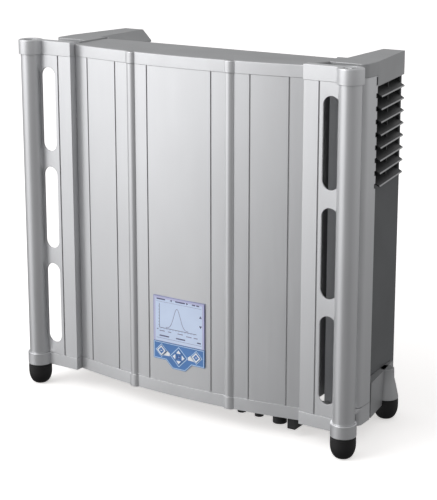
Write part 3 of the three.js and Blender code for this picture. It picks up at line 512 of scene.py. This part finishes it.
def polygon_loop(bm, points, y):
    corners = [corner_at(bm, x, y, z) for x, z in points]
    return [bm.edges.new(pair) for pair in zip(corners, corners[1:] + corners[:1])]


def plate_with_holes(bm, loops, depth):
    """Fills the area between an outer loop and its holes, and pushes it back to a plate."""
    edges = [e for loop in loops for e in loop]
    filled = bmesh.ops.triangle_fill(bm, use_beauty=True, edges=edges, normal=(0, -1, 0))["geom"]
    faces = [f for f in filled if isinstance(f, bmesh.types.BMFace)]
    push_faces(bm, faces, (0, depth, 0))


tube_near_x = column_x - math.sqrt(tube_radius ** 2 - (plate_y - column_y) ** 2)
slot_count = 3
slot_width = 27 * MM
slot_margin = 19.7 * MM
slot_web = 26 * MM
slot_outer_x = tube_near_x - 1 * MM
slot_inner_x = slot_outer_x - slot_width
plate_inner_x = end_x + seam
plate_outer_x = column_x - 3.5 * MM
plate_thickness = 3 * MM
plate_z0, plate_z1 = column_box[0].z, column_box[1].z
slot_pitch = (plate_z1 - plate_z0 - 2 * slot_margin + slot_web) / slot_count
plate_groove_x = slot_inner_x - 6.5 * MM
slotted_x = plate_groove_x + groove_half
plate_outline = [
    (slotted_x, plate_z0), (plate_outer_x, plate_z0), (plate_outer_x, plate_z1), (slotted_x, plate_z1),
]
plate = bmesh.new()
loops = [polygon_loop(plate, plate_outline, plate_y)]
for i in range(slot_count):
    slot_z0 = plate_z0 + slot_margin + i * slot_pitch
    slot_z1 = slot_z0 + slot_pitch - slot_web
    loops.append(stadium(plate, slot_inner_x, slot_outer_x, slot_z0, slot_z1, plate_y))
plate_with_holes(plate, loops, plate_thickness)
bmesh.ops.recalc_face_normals(plate, faces=plate.faces)
round_edges(plate, crisp_edge, 2, hard_edges(plate, 50))

# %% Inner strip with its groove, and the tube
strip = bmesh.new()
groove_x0, groove_x1 = plate_groove_x - groove_half, slotted_x - hair
groove_y, plate_back_y = plate_y + groove_depth, plate_y + plate_thickness
flange_x, flange_back_y = plate_inner_x + plate_thickness, end_y + 2 * MM
raise_outline(strip, [
    (plate_inner_x, plate_y), (groove_x0, plate_y), (groove_x0, groove_y), (groove_x1, groove_y),
    (groove_x1, plate_back_y), (flange_x, plate_back_y), (flange_x, flange_back_y),
    (plate_inner_x, flange_back_y),
], plate_z0, plate_z1)
bmesh.ops.recalc_face_normals(strip, faces=strip.faces)
paint_shade_on_groove_floors(strip, plate_y)
round_edges(strip, 0.3 * MM)
absorb(plate, strip)
tube_wall = 3.5 * MM
bore_radius = tube_radius - tube_wall
spun(plate, [
    (bore_radius, plate_z0), (tube_radius, plate_z0), (tube_radius, plate_z1),
    (bore_radius, plate_z1), (bore_radius, plate_z0),
], column_x, column_y, steps=112)
settle_pair(plate, "handle_column", (silver, groove_painted_shade), "handle_column")
print("slots from X", round(slot_inner_x, 4), "to", round(slot_outer_x, 4))

# %% [markdown]
# ## Cast corners
# A cast cap closes each column at the top, with a recess for the screw that holds the whole stack
# together. The round part is turned, so it is a spin; the wing beside it is a block whose front
# edges are rounded as a casting's are. The base casting is made the same way, and it turns the
# corner under the side profile.

# %% Caps with their screws
wing_front_y = plate_y - 1 * MM
wing_back_y = end_y + panel_thickness - 2 * MM
wing_inner_x = end_x + 0.6 * MM


def wing_block(bm, z0, z1, rounded_top):
    block = bmesh.new()
    cube(block, (wing_inner_x, wing_front_y, z0), (column_x, wing_back_y, z1))
    if rounded_top:
        round_edges(block, soft_edge, 3, front_top_edges(block, wing_front_y, z1))
    round_edges(block, crisp_edge)
    absorb(bm, block)


cap_z0, cap_z1 = cap_box[0].z, cap_box[1].z
recess_radius = 11 * MM
recess_z = cap_z1 - 6 * MM
cap_edge, cap_round = 0.5 * MM, 1.6 * MM
cap = bmesh.new()
wing_block(cap, cap_z0, cap_z1 - 1 * MM, True)
spun(cap, [
    (0, cap_z0), (cap_radius - cap_edge, cap_z0), (cap_radius, cap_z0 + cap_edge),
    (cap_radius, cap_z1 - cap_round), (cap_radius - cap_edge, cap_z1 - cap_edge),
    (cap_radius - cap_round, cap_z1), (recess_radius + soft_edge, cap_z1),
    (recess_radius, cap_z1 - soft_edge), (recess_radius, recess_z), (0, recess_z),
], column_x, column_y, steps=96)
settle_pair(cap, "top_corner_cap", cast_silver, "top_corner_cap")

screw = bmesh.new()
head_radius = 9 * MM
head_seat = recess_z + 0.2 * MM
head_top = cap_z1 - 1.4 * MM
head_round = 1.2 * MM
socket_radius = 4.6 * MM
socket_z = head_top - 3 * MM
spun(screw, [
    (0, head_seat), (head_radius, head_seat), (head_radius, head_top - head_round),
    (head_radius - 0.4 * MM, head_top - 0.3 * MM), (head_radius - head_round, head_top),
    (socket_radius + head_round, head_top), (socket_radius, head_top - soft_edge),
    (socket_radius, socket_z), (0, socket_z),
], column_x, column_y, steps=48)
settle_pair(screw, "column_screw", steel, "column_screw")

# %% Side channel outline
side_x = hood_box[1].x
side_front_y = profile_box[0].y
profile_back_y = profile_box[1].y - 3.7 * MM
corner_radius = 10 * MM
return_x = profile_box[0].x


def spun_corner(bm, z):
    """The rounded front corner of the side, in plan: its first and last vertices."""
    start = corner_at(bm, side_x - corner_radius, side_front_y, z)
    center = (side_x - corner_radius, side_front_y + corner_radius, z)
    arc = bmesh.ops.spin(bm, geom=[start], cent=center, axis=(0, 0, 1), angle=math.pi / 2, steps=10)
    return start, verts_in(arc["geom_last"])[0]


def side_channel(return_back_y, z0, z1):
    """The outline of the channel is a wire with one spun corner; it is raised to a skin."""
    skin = bmesh.new()
    start, end = spun_corner(skin, z0)
    outer_stops = [(side_x, profile_back_y)]
    inner_stops = [(return_x, side_front_y), (return_x, return_back_y)]
    for last, stops in ((end, outer_stops), (start, inner_stops)):
        for x, y in stops:
            grown = corner_at(skin, x, y, z0)
            skin.edges.new((last, grown))
            last = grown
    raised = bmesh.ops.extrude_edge_only(skin, edges=skin.edges[:])["geom"]
    bmesh.ops.translate(skin, vec=(0, 0, z1 - z0), verts=verts_in(raised))
    return skin


def give_wall(skin, wall):
    """Points every face outwards, then adds the wall on the inner side."""
    bmesh.ops.recalc_face_normals(skin, faces=skin.faces)
    front = min(skin.faces, key=lambda f: f.calc_center_median().y)
    if front.normal.y > 0:
        bmesh.ops.reverse_faces(skin, faces=skin.faces)
    skin.normal_update()
    bmesh.ops.solidify(skin, geom=skin.faces[:], thickness=wall)


# %% Base castings
casting_z0, casting_z1 = casting_box[0].z, casting_box[1].z
trim_z0 = bottom_trim_box[0].z
casting_wall = 4 * MM
floor_z = casting_z1 - casting_wall
casting = bmesh.new()
wing_block(casting, trim_z0, casting_z1, False)
spun(casting, [
    (0, trim_z0), (cap_radius - soft_edge, trim_z0), (cap_radius, trim_z0 + soft_edge),
    (cap_radius, casting_z1 - cap_edge), (cap_radius - cap_edge, casting_z1), (0, casting_z1),
], column_x, column_y, steps=96)
cube(casting, (wing_inner_x, wing_back_y - 1 * MM, floor_z),
     (side_x - corner_radius, side_front_y + 1 * MM, casting_z1))
cube(casting, (column_x - 12 * MM, column_y, floor_z),
     (side_x, side_front_y + corner_radius, casting_z1))
skirt = side_channel(profile_back_y, casting_z0, casting_z1)
give_wall(skirt, casting_wall)
absorb(casting, skirt)
settle_pair(casting, "base_casting", cast_silver, "base_casting")

# %% Feet
def foot(name, x, y):
    bm = bmesh.new()
    top = foot_box[1].z
    radius = (foot_box[1].x - foot_box[0].x) / 2
    tread = 7 * MM
    straight = 12 * MM
    dome_steps = 10
    outline = [(0, 0), (tread, 0)]
    for i in range(1, dome_steps + 1):
        turn = math.pi / 2 * i / dome_steps
        reach = tread + (radius - tread) * math.sin(turn)
        outline.append((reach, (top - straight) * (1 - math.cos(turn))))
    neck = radius - 0.7 * MM
    outline += [(radius, top - 3 * MM), (neck, top - 2.6 * MM), (neck, top), (0, top)]
    spun(bm, outline, x, y, steps=72)
    settle_pair(bm, name, rubber, name, hard=50)


foot("foot_front", column_x, column_y)
foot("foot_rear", rear_foot_x, rear_foot_y)
print("feet stand at", round(foot_box[0].z, 5))

# %% [markdown]
# ## Sides
# Behind each column stands a channel of sheet, with a rounded front corner. Its rear edge is
# notched beside every louvre slat. The channel is a wire, raised to a skin; the notches are
# squares that are cut out of the skin before it gets its wall.

# %% Side profiles
louvre_count = 8
louvre_pitch = 19 * MM
hood_low_z = hood_box[0].z
first_tip_z = hood_low_z - 18 * MM
slat_tips = [first_tip_z - i * louvre_pitch for i in range(louvre_count)]
slat_notches = [(tip + 1 * MM, tip + 8 * MM) for tip in slat_tips]
hood_notch = (hood_low_z + 2 * MM, hood_low_z + 14 * MM)
notches = slat_notches + [hood_notch]
notch_y = profile_back_y - 4 * MM


def in_a_notch(face):
    at = face.calc_center_median()
    beside_a_slat = any(z0 < at.z < z1 for z0, z1 in notches)
    return beside_a_slat and at.x > side_x - 1 * MM and at.y > notch_y


channel = side_channel(profile_box[1].y, profile_box[0].z, profile_box[1].z)
slice_across(channel, 2, [z for notch in notches for z in notch])
slice_across(channel, 1, [notch_y])
gone = [face for face in channel.faces if in_a_notch(face)]
bmesh.ops.delete(channel, geom=gone, context="FACES")
give_wall(channel, 3 * MM)
round_edges(channel, 0.3 * MM, 1, hard_edges(channel, 60))
settle_pair(channel, "side_profile", silver, "side_profile")

# %% Tapering side
rear_y = hood_box[1].y
rear_x = side_x - 20 * MM
taper_start_y = profile_back_y + 2 * MM
duct_front_x, duct_front_y = duct_box[1].x, duct_box[0].y
duct_rear_x = rear_x - 3 * MM
duct_gap = 0.7 * MM


def taper_x(y):
    """Outer face of the hood, louvre and bracket, at a distance behind the front."""
    return side_x + (rear_x - side_x) * (y - taper_start_y) / (rear_y - taper_start_y)


def duct_x(y):
    """Outer face of the duct, which tapers a little less."""
    return duct_front_x + (duct_rear_x - duct_front_x) * (y - duct_front_y) / (rear_y - duct_front_y)


def clear_of_duct(y):
    return duct_x(y) + duct_gap, y


# %% [markdown]
# ## Louvres
# Eight dark slats throw the air down and out; their pale lips are a painted highlight on the black
# plastic. One slat is a sheared bar with a rounded lip. It is built again at each step of the pitch,
# three posts hold the slats together, and the set is then turned to follow the tapering side.

# %% Louvre slats
louvre = bmesh.new()
slat_reach, slat_back = 2.5 * MM, -15 * MM
slat_rise = 10 * MM
slat_thickness = 2.2 * MM
lip_highlight_width = 1.8 * MM
post_width = 2 * MM
post_x = -6 * MM
post_z0, post_z1 = slat_tips[-1] - 1 * MM, louvre_box[1].z - 1 * MM
louvre_y0 = duct_front_y + 5 * MM
louvre_lead = 2.4 * MM   # the turn brings the back of a slat forward by this much
louvre_length = 112.5 * MM
for tip in slat_tips:
    slat = bmesh.new()
    cube(slat, (slat_back, 0, 0), (slat_reach, louvre_length, slat_thickness))
    for corner in slat.verts:
        corner.co.z += tip + slat_rise * (slat_reach - corner.co.x) / (slat_reach - slat_back)
    outer_edges = [e for e in slat.edges if all(v.co.x > 0 for v in e.verts)]
    round_edges(slat, 0.9 * MM, 4, [e for e in outer_edges if e.calc_length() > slat_rise])
    # The faces along the lip take the pale second finish: a painted highlight on the rounded edge.
    for face in slat.faces:
        if face.calc_center_median().x > slat_reach - lip_highlight_width:
            face.material_index = 1
    absorb(louvre, slat)
for y in (0, (louvre_length - post_width) / 2, louvre_length - post_width):
    cube(louvre, (slat_back, y, post_z0), (post_x, y + post_width, post_z1))
taper_angle = math.atan2(side_x - rear_x, rear_y - taper_start_y)
turn = Matrix.Rotation(taper_angle, 3, "Z")
bmesh.ops.rotate(louvre, cent=(0, 0, 0), matrix=turn, verts=louvre.verts)
seat = (taper_x(louvre_y0), louvre_y0 + louvre_lead, 0)
bmesh.ops.translate(louvre, vec=seat, verts=louvre.verts)
settle_pair(louvre, "louvre", (slat_grey, lip_highlight_paint), "louvre")
print("slat tips from", round(slat_tips[0], 4), "down to", round(slat_tips[-1], 4))

# %% [markdown]
# ## Hoods
# A folded hood covers the top of each duct: a flat lid with a rounded front corner, a sloping
# inner edge towards the wall, and a skirt over the side. The lid is an outline in plan with one
# spun corner, pushed down. Its rear half is sliced off along a slant, which makes the slope.

# %% Hood lid and skirt
hood_z1 = hood_box[1].z
lid_z0 = hood_z1 - 20 * MM
hood_gap = 0.3 * MM
hood_inner_x = duct_box[0].x
hood_step_x = deck_box[1].x + hood_gap
hood_tongue_y = side_front_y - 25 * MM
deck_back_y = deck_box[1].y + hood_gap
slope_y = deck_back_y + 2 * hair
slope_drop = 17 * MM


def hood_lid():
    """The lid without its slope: the front corner is spun, the other corners are placed."""
    bm = bmesh.new()
    spun_corner(bm, hood_z1)
    arc = sorted(bm.verts, key=lambda v: v.co.y)
    rest = [
        (side_x, taper_start_y), (rear_x, rear_y), (hood_inner_x, rear_y),
        (hood_inner_x, deck_back_y), (hood_step_x, deck_back_y), (hood_step_x, hood_tongue_y),
        (return_x, side_front_y),
    ]
    others = [corner_at(bm, x, y, hood_z1) for x, y in rest]
    push_faces(bm, [bm.faces.new(arc + others)], (0, 0, lid_z0 - hood_z1))
    bmesh.ops.recalc_face_normals(bm, faces=bm.faces)
    return bm


def on_top_rim(corner):
    """Near the top, and not on the cut between the halves."""
    return corner.co.z > hood_z1 - MM and abs(corner.co.y - slope_y) > 10 * hair


front_part = hood_lid()
cut_away(front_part, (0, slope_y, 0), (0, 1, 0))
rear_part = hood_lid()
cut_away(rear_part, (0, slope_y + 2 * hair, 0), (0, -1, 0))
cut_away(rear_part, (hood_inner_x, 0, hood_z1 - slope_drop), (-1, 0, 1))
hood = bmesh.new()
for part in (front_part, rear_part):
    rim = [e for e in hard_edges(part, 25) if all(on_top_rim(v) for v in e.verts)]
    round_edges(part, 1.2 * MM, 3, rim)
    absorb(hood, part)
skirt_y = profile_back_y + hood_gap
raise_outline(hood, [
    clear_of_duct(skirt_y), (side_x - hair, skirt_y), (side_x - hair, taper_start_y),
    (rear_x, rear_y), clear_of_duct(rear_y),
], hood_low_z, lid_z0 + 1 * MM)
settle_pair(hood, "rear_hood", dark_silver, "rear_hood", hard=35)

# %% Hood screws
hood_screw = bmesh.new()
hood_screw_x, hood_screw_y = 245 * MM, 8 * MM
screw_radius = 3.4 * MM
screw_z0, screw_z1 = hood_z1 - 1 * MM, hood_z1 - 0.05 * MM
dimple_z = hood_z1 - 0.9 * MM
spun(hood_screw, [
    (0, screw_z0), (screw_radius, screw_z0), (screw_radius, hood_z1 - 0.4 * MM),
    (screw_radius - 0.5 * MM, screw_z1), (1.5 * MM, screw_z1), (1.3 * MM, dimple_z), (0, dimple_z),
], hood_screw_x, hood_screw_y, steps=32)
settle_pair(hood_screw, "hood_screw", steel)

# %% [markdown]
# ## Rear brackets
# A bracket hangs from each duct and carries the rear foot in a flared boss. The boss is turned,
# and the side of it that would reach into the duct is sliced off along the duct's wall.

# %% Rear foot brackets
bracket = bmesh.new()
bracket_z0, bracket_z1 = bracket_box[0].z, bracket_box[1].z
bracket_y0 = duct_front_y + 1 * MM
bracket_y1 = rear_y - 16 * MM
bracket_inner_x = rear_x - 22 * MM
outer_face = [(taper_x(bracket_y0), bracket_y0), (taper_x(bracket_y1), bracket_y1)]
base = bmesh.new()
base_outline = [(bracket_inner_x, bracket_y0), *outer_face, (bracket_inner_x, bracket_y1)]
raise_outline(base, base_outline, bracket_z0, casting_z1)
round_edges(base, 0.6 * MM)
absorb(bracket, base)
ear_outline = [clear_of_duct(bracket_y0), *outer_face, clear_of_duct(bracket_y1)]
raise_outline(bracket, ear_outline, casting_z1 - 1 * MM, bracket_z1)

# %% Bosses
boss_radius = (rear_foot_box[1].x - rear_foot_box[0].x) / 2
boss = bmesh.new()
spun(boss, [
    (0, trim_z0), (boss_radius, trim_z0), (boss_radius - 0.2 * MM, trim_z0 + 2 * MM),
    (boss_radius - 0.8 * MM, trim_z0 + 5 * MM), (boss_radius - 4 * MM, trim_z0 + 20 * MM),
    (boss_radius - 7 * MM, bracket_z1 - 16 * MM), (boss_radius - 7.5 * MM, bracket_z1 - 0.6 * MM),
    (boss_radius - 8.1 * MM, bracket_z1), (0, bracket_z1),
], rear_foot_x, rear_foot_y, steps=72)
wall_run = Vector((duct_x(rear_y) - duct_x(0), rear_y, 0))
cut_away(boss, (*clear_of_duct(0), 0), (-wall_run.y, wall_run.x, 0))
absorb(bracket, boss)
settle_pair(bracket, "rear_foot_bracket", dark_silver, "rear_foot_bracket", hard=35)

# %% [markdown]
# ## Screen
# The screen sits behind a printed frame. Its picture is only lines and bars: two axes, a bell
# curve of a day's yield, arrows and plain marks in place of words. Each mark is a thin raised bar
# of ink, so it stays sharp from close by.

# %% Flat marks on the front
front_y = window_box[0].y
mark_height = 0.12 * MM


def bar(bm, x0, z0, x1, z1, width, y=front_y):
    """A flat bar of a given width from one point to another, a little proud of a plane."""
    reach = Vector((x1 - x0, 0, z1 - z0))
    middle = ((x0 + x1) / 2, y - mark_height / 2, (z0 + z1) / 2)
    made = bmesh.ops.create_cube(bm, size=1.0)["verts"]
    bmesh.ops.scale(bm, vec=(reach.length, mark_height, width), verts=made)
    turn = Matrix.Rotation(-math.atan2(reach.z, reach.x), 3, "Y")
    bmesh.ops.rotate(bm, cent=(0, 0, 0), matrix=turn, verts=made)
    bmesh.ops.translate(bm, vec=middle, verts=made)


def flat_shape(bm, points, y, height=mark_height):
    corners = [corner_at(bm, x, y, z) for x, z in points]
    push_faces(bm, [bm.faces.new(corners)], (0, -height, 0))


def shrunk(points, width):
    """The corners of an outline moved inward by a width, each along the mitre of its two edges."""
    inner = []
    for i, corner in enumerate(points):
        at = Vector(corner)
        before = (at - Vector(points[i - 1])).normalized()
        after = (Vector(points[(i + 1) % len(points)]) - at).normalized()
        inward = Vector((-before.y - after.y, before.x + after.x))
        inner.append(tuple(at + inward * width / (1 + before.dot(after))))
    return inner


def outline_ring(bm, points, width, y, height=mark_height):
    """A thin raised line along an outline that runs anticlockwise: a plate with one large hole."""
    ring = bmesh.new()
    loops = [polygon_loop(ring, outline, y) for outline in (points, shrunk(points, width))]
    plate_with_holes(ring, loops, -height)
    absorb(bm, ring)


# %% Screen frame and pane
screen_z0, screen_z1 = window_box[0].z, window_box[1].z
half_screen = window_box[1].x
bezel = bmesh.new()
cube(bezel, (-half_screen, front_y, screen_z0), (half_screen, window_box[1].y, screen_z1))
round_edges(bezel, crisp_edge)
settle(bezel, "display_window", bezel_violet, stands_for=("display_window",))


def pane(name, inset, material, height):
    """A thin rectangle inside the screen frame."""
    bm = bmesh.new()
    low, high, side = screen_z0 + 0.2 * inset, screen_z1 - inset, half_screen - inset
    flat_shape(bm, [(-side, low), (side, low), (side, high), (-side, high)], front_y, height)
    settle(bm, name, material)


pane("screen_border", 1.2 * MM, border_violet, 0.04 * MM)
pane("screen_pane", 4.2 * MM, screen_blue, 0.08 * MM)

# %% Screen marks
status_z = screen_z1 - 5 * MM
low_z = screen_z0 + 9.5 * MM
axis_x, axis_z = -36 * MM, screen_z0 + 22.5 * MM
axis_top_z, axis_end_x = screen_z1 - 12 * MM, 33 * MM
axis_width = 0.8 * MM
curve_middle, curve_width, curve_height = -3 * MM, 8.5 * MM, 33 * MM
curve_x0, curve_run, curve_steps = -24 * MM, 42 * MM, 24
curve_z0 = axis_z + 1.5 * MM


def curve_point(i):
    x = curve_x0 + curve_run * i / curve_steps
    return x, curve_z0 + curve_height * math.exp(-((x - curve_middle) / curve_width) ** 2)


faint_marks = bmesh.new()
for i in range(curve_steps):
    bar(faint_marks, *curve_point(i), *curve_point(i + 1), 0.9 * MM)

marks = bmesh.new()
bar(marks, axis_x, axis_z, axis_x, axis_top_z, axis_width)
bar(marks, axis_x, axis_z, axis_end_x, axis_z, axis_width)
status_words = ((-41, -25), (-6, 12), (25, 31), (33, 38))
low_words = ((-36, -18), (-5, 12), (34, 41))
for z, words in ((status_z, status_words), (low_z, low_words)):
    for x0, x1 in words:
        bar(marks, x0 * MM, z, x1 * MM, z, 2.0 * MM)
for x, way in ((-14 * MM, -1), (16 * MM, 1)):
    back_x, tip_x = x - 1.5 * MM * way, x + 2 * MM * way
    arrow = [(back_x, status_z - 2 * MM), (tip_x, status_z), (back_x, status_z + 2 * MM)]
    flat_shape(marks, arrow, front_y)
for z, way in ((axis_z + 29 * MM, 1), (axis_z + 13 * MM, -1)):
    back_z, tip_z = z - 2 * MM * way, z + 2.2 * MM * way
    flat_shape(marks, [(38 * MM, back_z), (43 * MM, back_z), (40.5 * MM, tip_z)], front_y)
settle(marks, "screen_marks", ink)

# %% Faint screen marks
tick_width = 0.6 * MM
for i in range(12):
    tick_x = axis_x + 3 * MM + i * 5.6 * MM
    bar(faint_marks, tick_x, axis_z - 2.2 * MM, tick_x, axis_z - 0.6 * MM, tick_width)
for i in range(7):
    tick_z = axis_z + 4 * MM + i * 5 * MM
    bar(faint_marks, axis_x - 2.4 * MM, tick_z, axis_x - 0.6 * MM, tick_z, tick_width)
faint_words = (
    (-36, -26, 5), (-20, -14, 5), (-2, 8, 5), (14, 24, 6.5), (28, 35, 6.5), (-41, -38, 3),
)
for x0, x1, drop in faint_words:
    word_z = axis_z - drop * MM
    bar(faint_marks, x0 * MM, word_z, x1 * MM, word_z, 1.4 * MM)
rule_x = 42 * MM
bar(faint_marks, -rule_x, low_z - 4 * MM, rule_x, low_z - 4 * MM, 0.5 * MM)
bar(faint_marks, -rule_x, status_z - 4 * MM, rule_x, status_z - 4 * MM, 0.4 * MM)
settle(faint_marks, "screen_faint_marks", faint_ink)

# %% [markdown]
# ## Keypad
# The keys stand in holes of a printed film. The film's outline has a lobe around the arrow keys,
# and a light line runs round it. Each key is its own plate, because each is pressed by itself.

# %% Keypad film
film_y0, film_y1 = film_box[0].y, film_box[1].y
keypad_z1 = film_box[1].z
lobe_z0 = film_box[0].z
keypad_z0 = lobe_z0 + 12 * MM
lobe_wide, lobe_narrow = 24 * MM, 12 * MM
film_points = [
    (-half_screen, keypad_z1), (-half_screen, keypad_z0), (-lobe_wide, keypad_z0),
    (-lobe_narrow, lobe_z0), (lobe_narrow, lobe_z0), (lobe_wide, keypad_z0),
    (half_screen, keypad_z0), (half_screen, keypad_z1),
]
side_keys = ["key_menu", "key_enter"]
key_names = side_keys + ["key_up", "key_down", "key_left", "key_right"]
cross_z = (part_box("key_up")[1].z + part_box("key_down")[0].z) / 2


def diamond(x, z, reach_x, reach_z):
    return [(x - reach_x, z), (x, z - reach_z), (x + reach_x, z), (x, z + reach_z)]


def middle_diamond(reach):
    return diamond(0, cross_z, reach, reach)


def key_corners(name, grow=0.0):
    low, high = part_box(name)
    middle, reach = (low + high) / 2, (high - low) / 2
    return diamond(middle.x, middle.z, reach.x + grow, reach.z + grow)


film = bmesh.new()
film_loops = [polygon_loop(film, film_points, film_y0)]
film_loops += [polygon_loop(film, key_corners(name, 0.35 * MM), film_y0) for name in key_names]
plate_with_holes(film, film_loops, film_y1 - film_y0)
settle(film, "keypad_film", film_blue, stands_for=("keypad_film",))

# %% Keys
key_back_y = film_y1 - 0.4 * MM
print_height = 0.05 * MM


def ring_and_dash(art, name, middle, face_y):
    """The printing of a side key: a diamond ring with a short bar in it."""
    outline_ring(art, key_corners(name, -0.9 * MM), 1.9 * MM, face_y, print_height)
    x0, x1 = middle.x - 1.6 * MM, middle.x + 1.6 * MM
    bar(art, x0, middle.z, x1, middle.z, 1.1 * MM, face_y + mark_height / 2)


def arrowhead(art, middle, reach, face_y):
    """The printing of an arrow key: a triangle that points away from the middle of the cross."""
    at = Vector((middle.x, 0, middle.z))
    away = (at - Vector((0, 0, cross_z))).normalized() * reach
    side = Vector((away.z, 0, -away.x)) * 0.76
    base = at - away * 0.18
    corners = [at + away * 0.76, base + side, base - side]
    flat_shape(art, [(c.x, c.z) for c in corners], face_y, print_height)


for name in key_names:
    low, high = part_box(name)
    middle, reach = (low + high) / 2, (high.z - low.z) / 2
    key = bmesh.new()
    flat_shape(key, key_corners(name), key_back_y, key_back_y - low.y)
    round_edges(key, 0.25 * MM)
    settle(key, name, film_blue, body=name, stands_for=(name,))
    art = bmesh.new()
    if name in side_keys:
        ring_and_dash(art, name, middle, low.y)
    else:
        arrowhead(art, middle, reach, low.y)
    settle(art, name + "_mark", key_white, body=name)

# %% Film outlines and wedges
line_width = 1.0 * MM
lines = bmesh.new()
outline_ring(lines, shrunk(film_points, 0.9 * MM), line_width, film_y0)
outline_ring(lines, middle_diamond(16.4 * MM), line_width, film_y0)
for name in side_keys:
    outline_ring(lines, key_corners(name, 2.2 * MM), line_width, film_y0)
settle(lines, "keypad_outlines", line_blue)

wedges = bmesh.new()
wedge = ((16.6, -17.4), (21.6, -13.4), (29.6, -22.0), (17.4, -21.6))
for side in (-1, 1):
    flat_shape(wedges, [(side * x * MM, keypad_z1 + z * MM) for x, z in wedge], film_y0)
settle(wedges, "keypad_wedges", key_white)

middle_patch = bmesh.new()
flat_shape(middle_patch, middle_diamond(5.2 * MM), film_y0)
settle(middle_patch, "keypad_middle_patch", key_deep_blue)
middle_dot = bmesh.new()
flat_shape(middle_dot, middle_diamond(1.1 * MM), film_y0 - mark_height)
settle(middle_dot, "keypad_middle_dot", line_blue)

# %% [markdown]
# ## Parts that keep their frame shape
# Flat sheet, fins, the fans behind the slats and everything inside already have their true shape,
# so they only need their finish.

# %% Finishes of the frame's own nodes
finish_of = {
    "side_duct_right": duct_grey, "side_duct_left": duct_grey, "electronics_tub": tub_grey,
    "heat_sink": bare_aluminium, "rear_cover": duct_grey, "hanging_rail": steel,
    "fan_frame_right": black_plastic, "fan_frame_left": black_plastic,
    "fan_rotor_right": black_plastic, "fan_rotor_left": black_plastic,
    "lcd_module": screen_blue, "mains_gland": black_plastic, "string_connector_plus": black_plastic,
    "string_connector_minus": black_plastic, "isolator_knob": black_plastic, "isolator_body": black_plastic,
    "power_board": board_green, "control_board": board_green, "transistor_module": black_plastic,
    "link_capacitor_1": steel, "link_capacitor_2": steel, "boost_choke": copper,
    "mains_terminals": black_plastic, "panel_terminals": black_plastic,
}
for name, material in finish_of.items():
    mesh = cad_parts[name].data
    mesh.materials.clear()
    mesh.materials.append(material)
bare = [n for n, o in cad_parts.items() if not o.hide_render and n not in finish_of]
print("nodes left without a finish:", bare)

# %% [markdown]
# ## Studio
# The floor is wide and pale, and it glows a little, so it stays even and white. The light comes
# from the front left and above. The room is dimmer to the right and towards the floor, so a round
# column shows a bright side and a dark side. The floor is kept out of reflections, so the metal
# mirrors only the room.

# %% Floor and light
floor_bm = bmesh.new()
floor_reach = 40
bmesh.ops.create_grid(floor_bm, x_segments=1, y_segments=1, size=floor_reach)
floor_mesh = bpy.data.meshes.new("floor")
floor_bm.to_mesh(floor_mesh)
floor_bm.free()
floor = bpy.data.objects.new("floor", floor_mesh)
bpy.context.scene.collection.objects.link(floor)
floor.visible_glossy = False
floor.visible_diffuse = False
paper, _, _, paper_shader = start_material("pale_floor", (0.95, 0.945, 0.94), 0, 0.9)
paper_shader.inputs["Emission Color"].default_value = (1, 0.98, 0.965, 1)
paper_shader.inputs["Emission Strength"].default_value = 0.53
paper_shader.inputs["Specular IOR Level"].default_value = 0
floor_mesh.materials.append(paper)

# %% Room
world = bpy.data.worlds.new("studio")
bpy.context.scene.world = world
world.use_nodes = True
nodes, links = world.node_tree.nodes, world.node_tree.links
direction = nodes.new("ShaderNodeTexCoord")
towards = nodes.new("ShaderNodeVectorMath")
towards.operation = "DOT_PRODUCT"
bright_side = (-0.683, -0.683, 0.259)
towards.inputs[1].default_value = bright_side
ramp = nodes.new("ShaderNodeValToRGB")
stretch = nodes.new("ShaderNodeMapRange")
stretch.inputs["From Min"].default_value = -1
stretch.inputs["From Max"].default_value = 1
stops = (
    (0.0, 0.36), (0.2, 0.30), (0.35, 0.25), (0.66, 0.27), (0.84, 0.33), (0.90, 0.62), (0.94, 0.95),
    (1.0, 1.05),
)
ramp.color_ramp.elements[0].position = stops[0][0]
ramp.color_ramp.elements[1].position = stops[-1][0]
for place, level in stops[1:-1]:
    ramp.color_ramp.elements.new(place)
for element, (place, level) in zip(ramp.color_ramp.elements, stops):
    element.color = (level, level, level * 1.01, 1)
links.new(direction.outputs["Generated"], towards.inputs[0])
links.new(towards.outputs["Value"], stretch.inputs["Value"])
links.new(stretch.outputs["Result"], ramp.inputs["Fac"])
height = nodes.new("ShaderNodeSeparateXYZ")
fall = nodes.new("ShaderNodeMapRange")
fall.inputs["From Min"].default_value = -0.42
fall.inputs["From Max"].default_value = -0.05
fall.inputs["To Min"].default_value = 0.45
fall.inputs["To Max"].default_value = 1.72
links.new(direction.outputs["Generated"], height.inputs["Vector"])
links.new(height.outputs["Z"], fall.inputs["Value"])
links.new(ramp.outputs["Color"], nodes["Background"].inputs["Color"])
links.new(fall.outputs["Result"], nodes["Background"].inputs["Strength"])


# %% Lamps
lamp_aim = Vector((0, 0, 0.3))


def soft_light(name, location, size, power):
    light = bpy.data.lights.new(name, "AREA")
    light.shape = "RECTANGLE"
    light.size, light.size_y = size
    light.energy = power
    lamp = bpy.data.objects.new(name, light)
    lamp.location = location
    lamp.rotation_euler = (lamp_aim - Vector(location)).to_track_quat("-Z", "Y").to_euler()
    bpy.context.scene.collection.objects.link(lamp)


soft_light("key_light", (-1.6, -2.6, 2.6), (2.2, 1.6), 35)
soft_light("top_light", (-0.6, 0.4, 3.2), (2.5, 2.5), 5)

# %% Camera
camera_data = bpy.data.cameras.new("camera")
camera_data.lens = 102.82
camera_data.shift_y = -0.12
camera = bpy.data.objects.new("camera", camera_data)
camera.location = (1.1881, -1.8324, 0.8596)
camera.rotation_euler = (math.radians(76.742), 0, math.radians(32.876))
bpy.context.scene.collection.objects.link(camera)
bpy.context.scene.camera = camera
bpy.context.scene.view_settings.view_transform = "Standard"
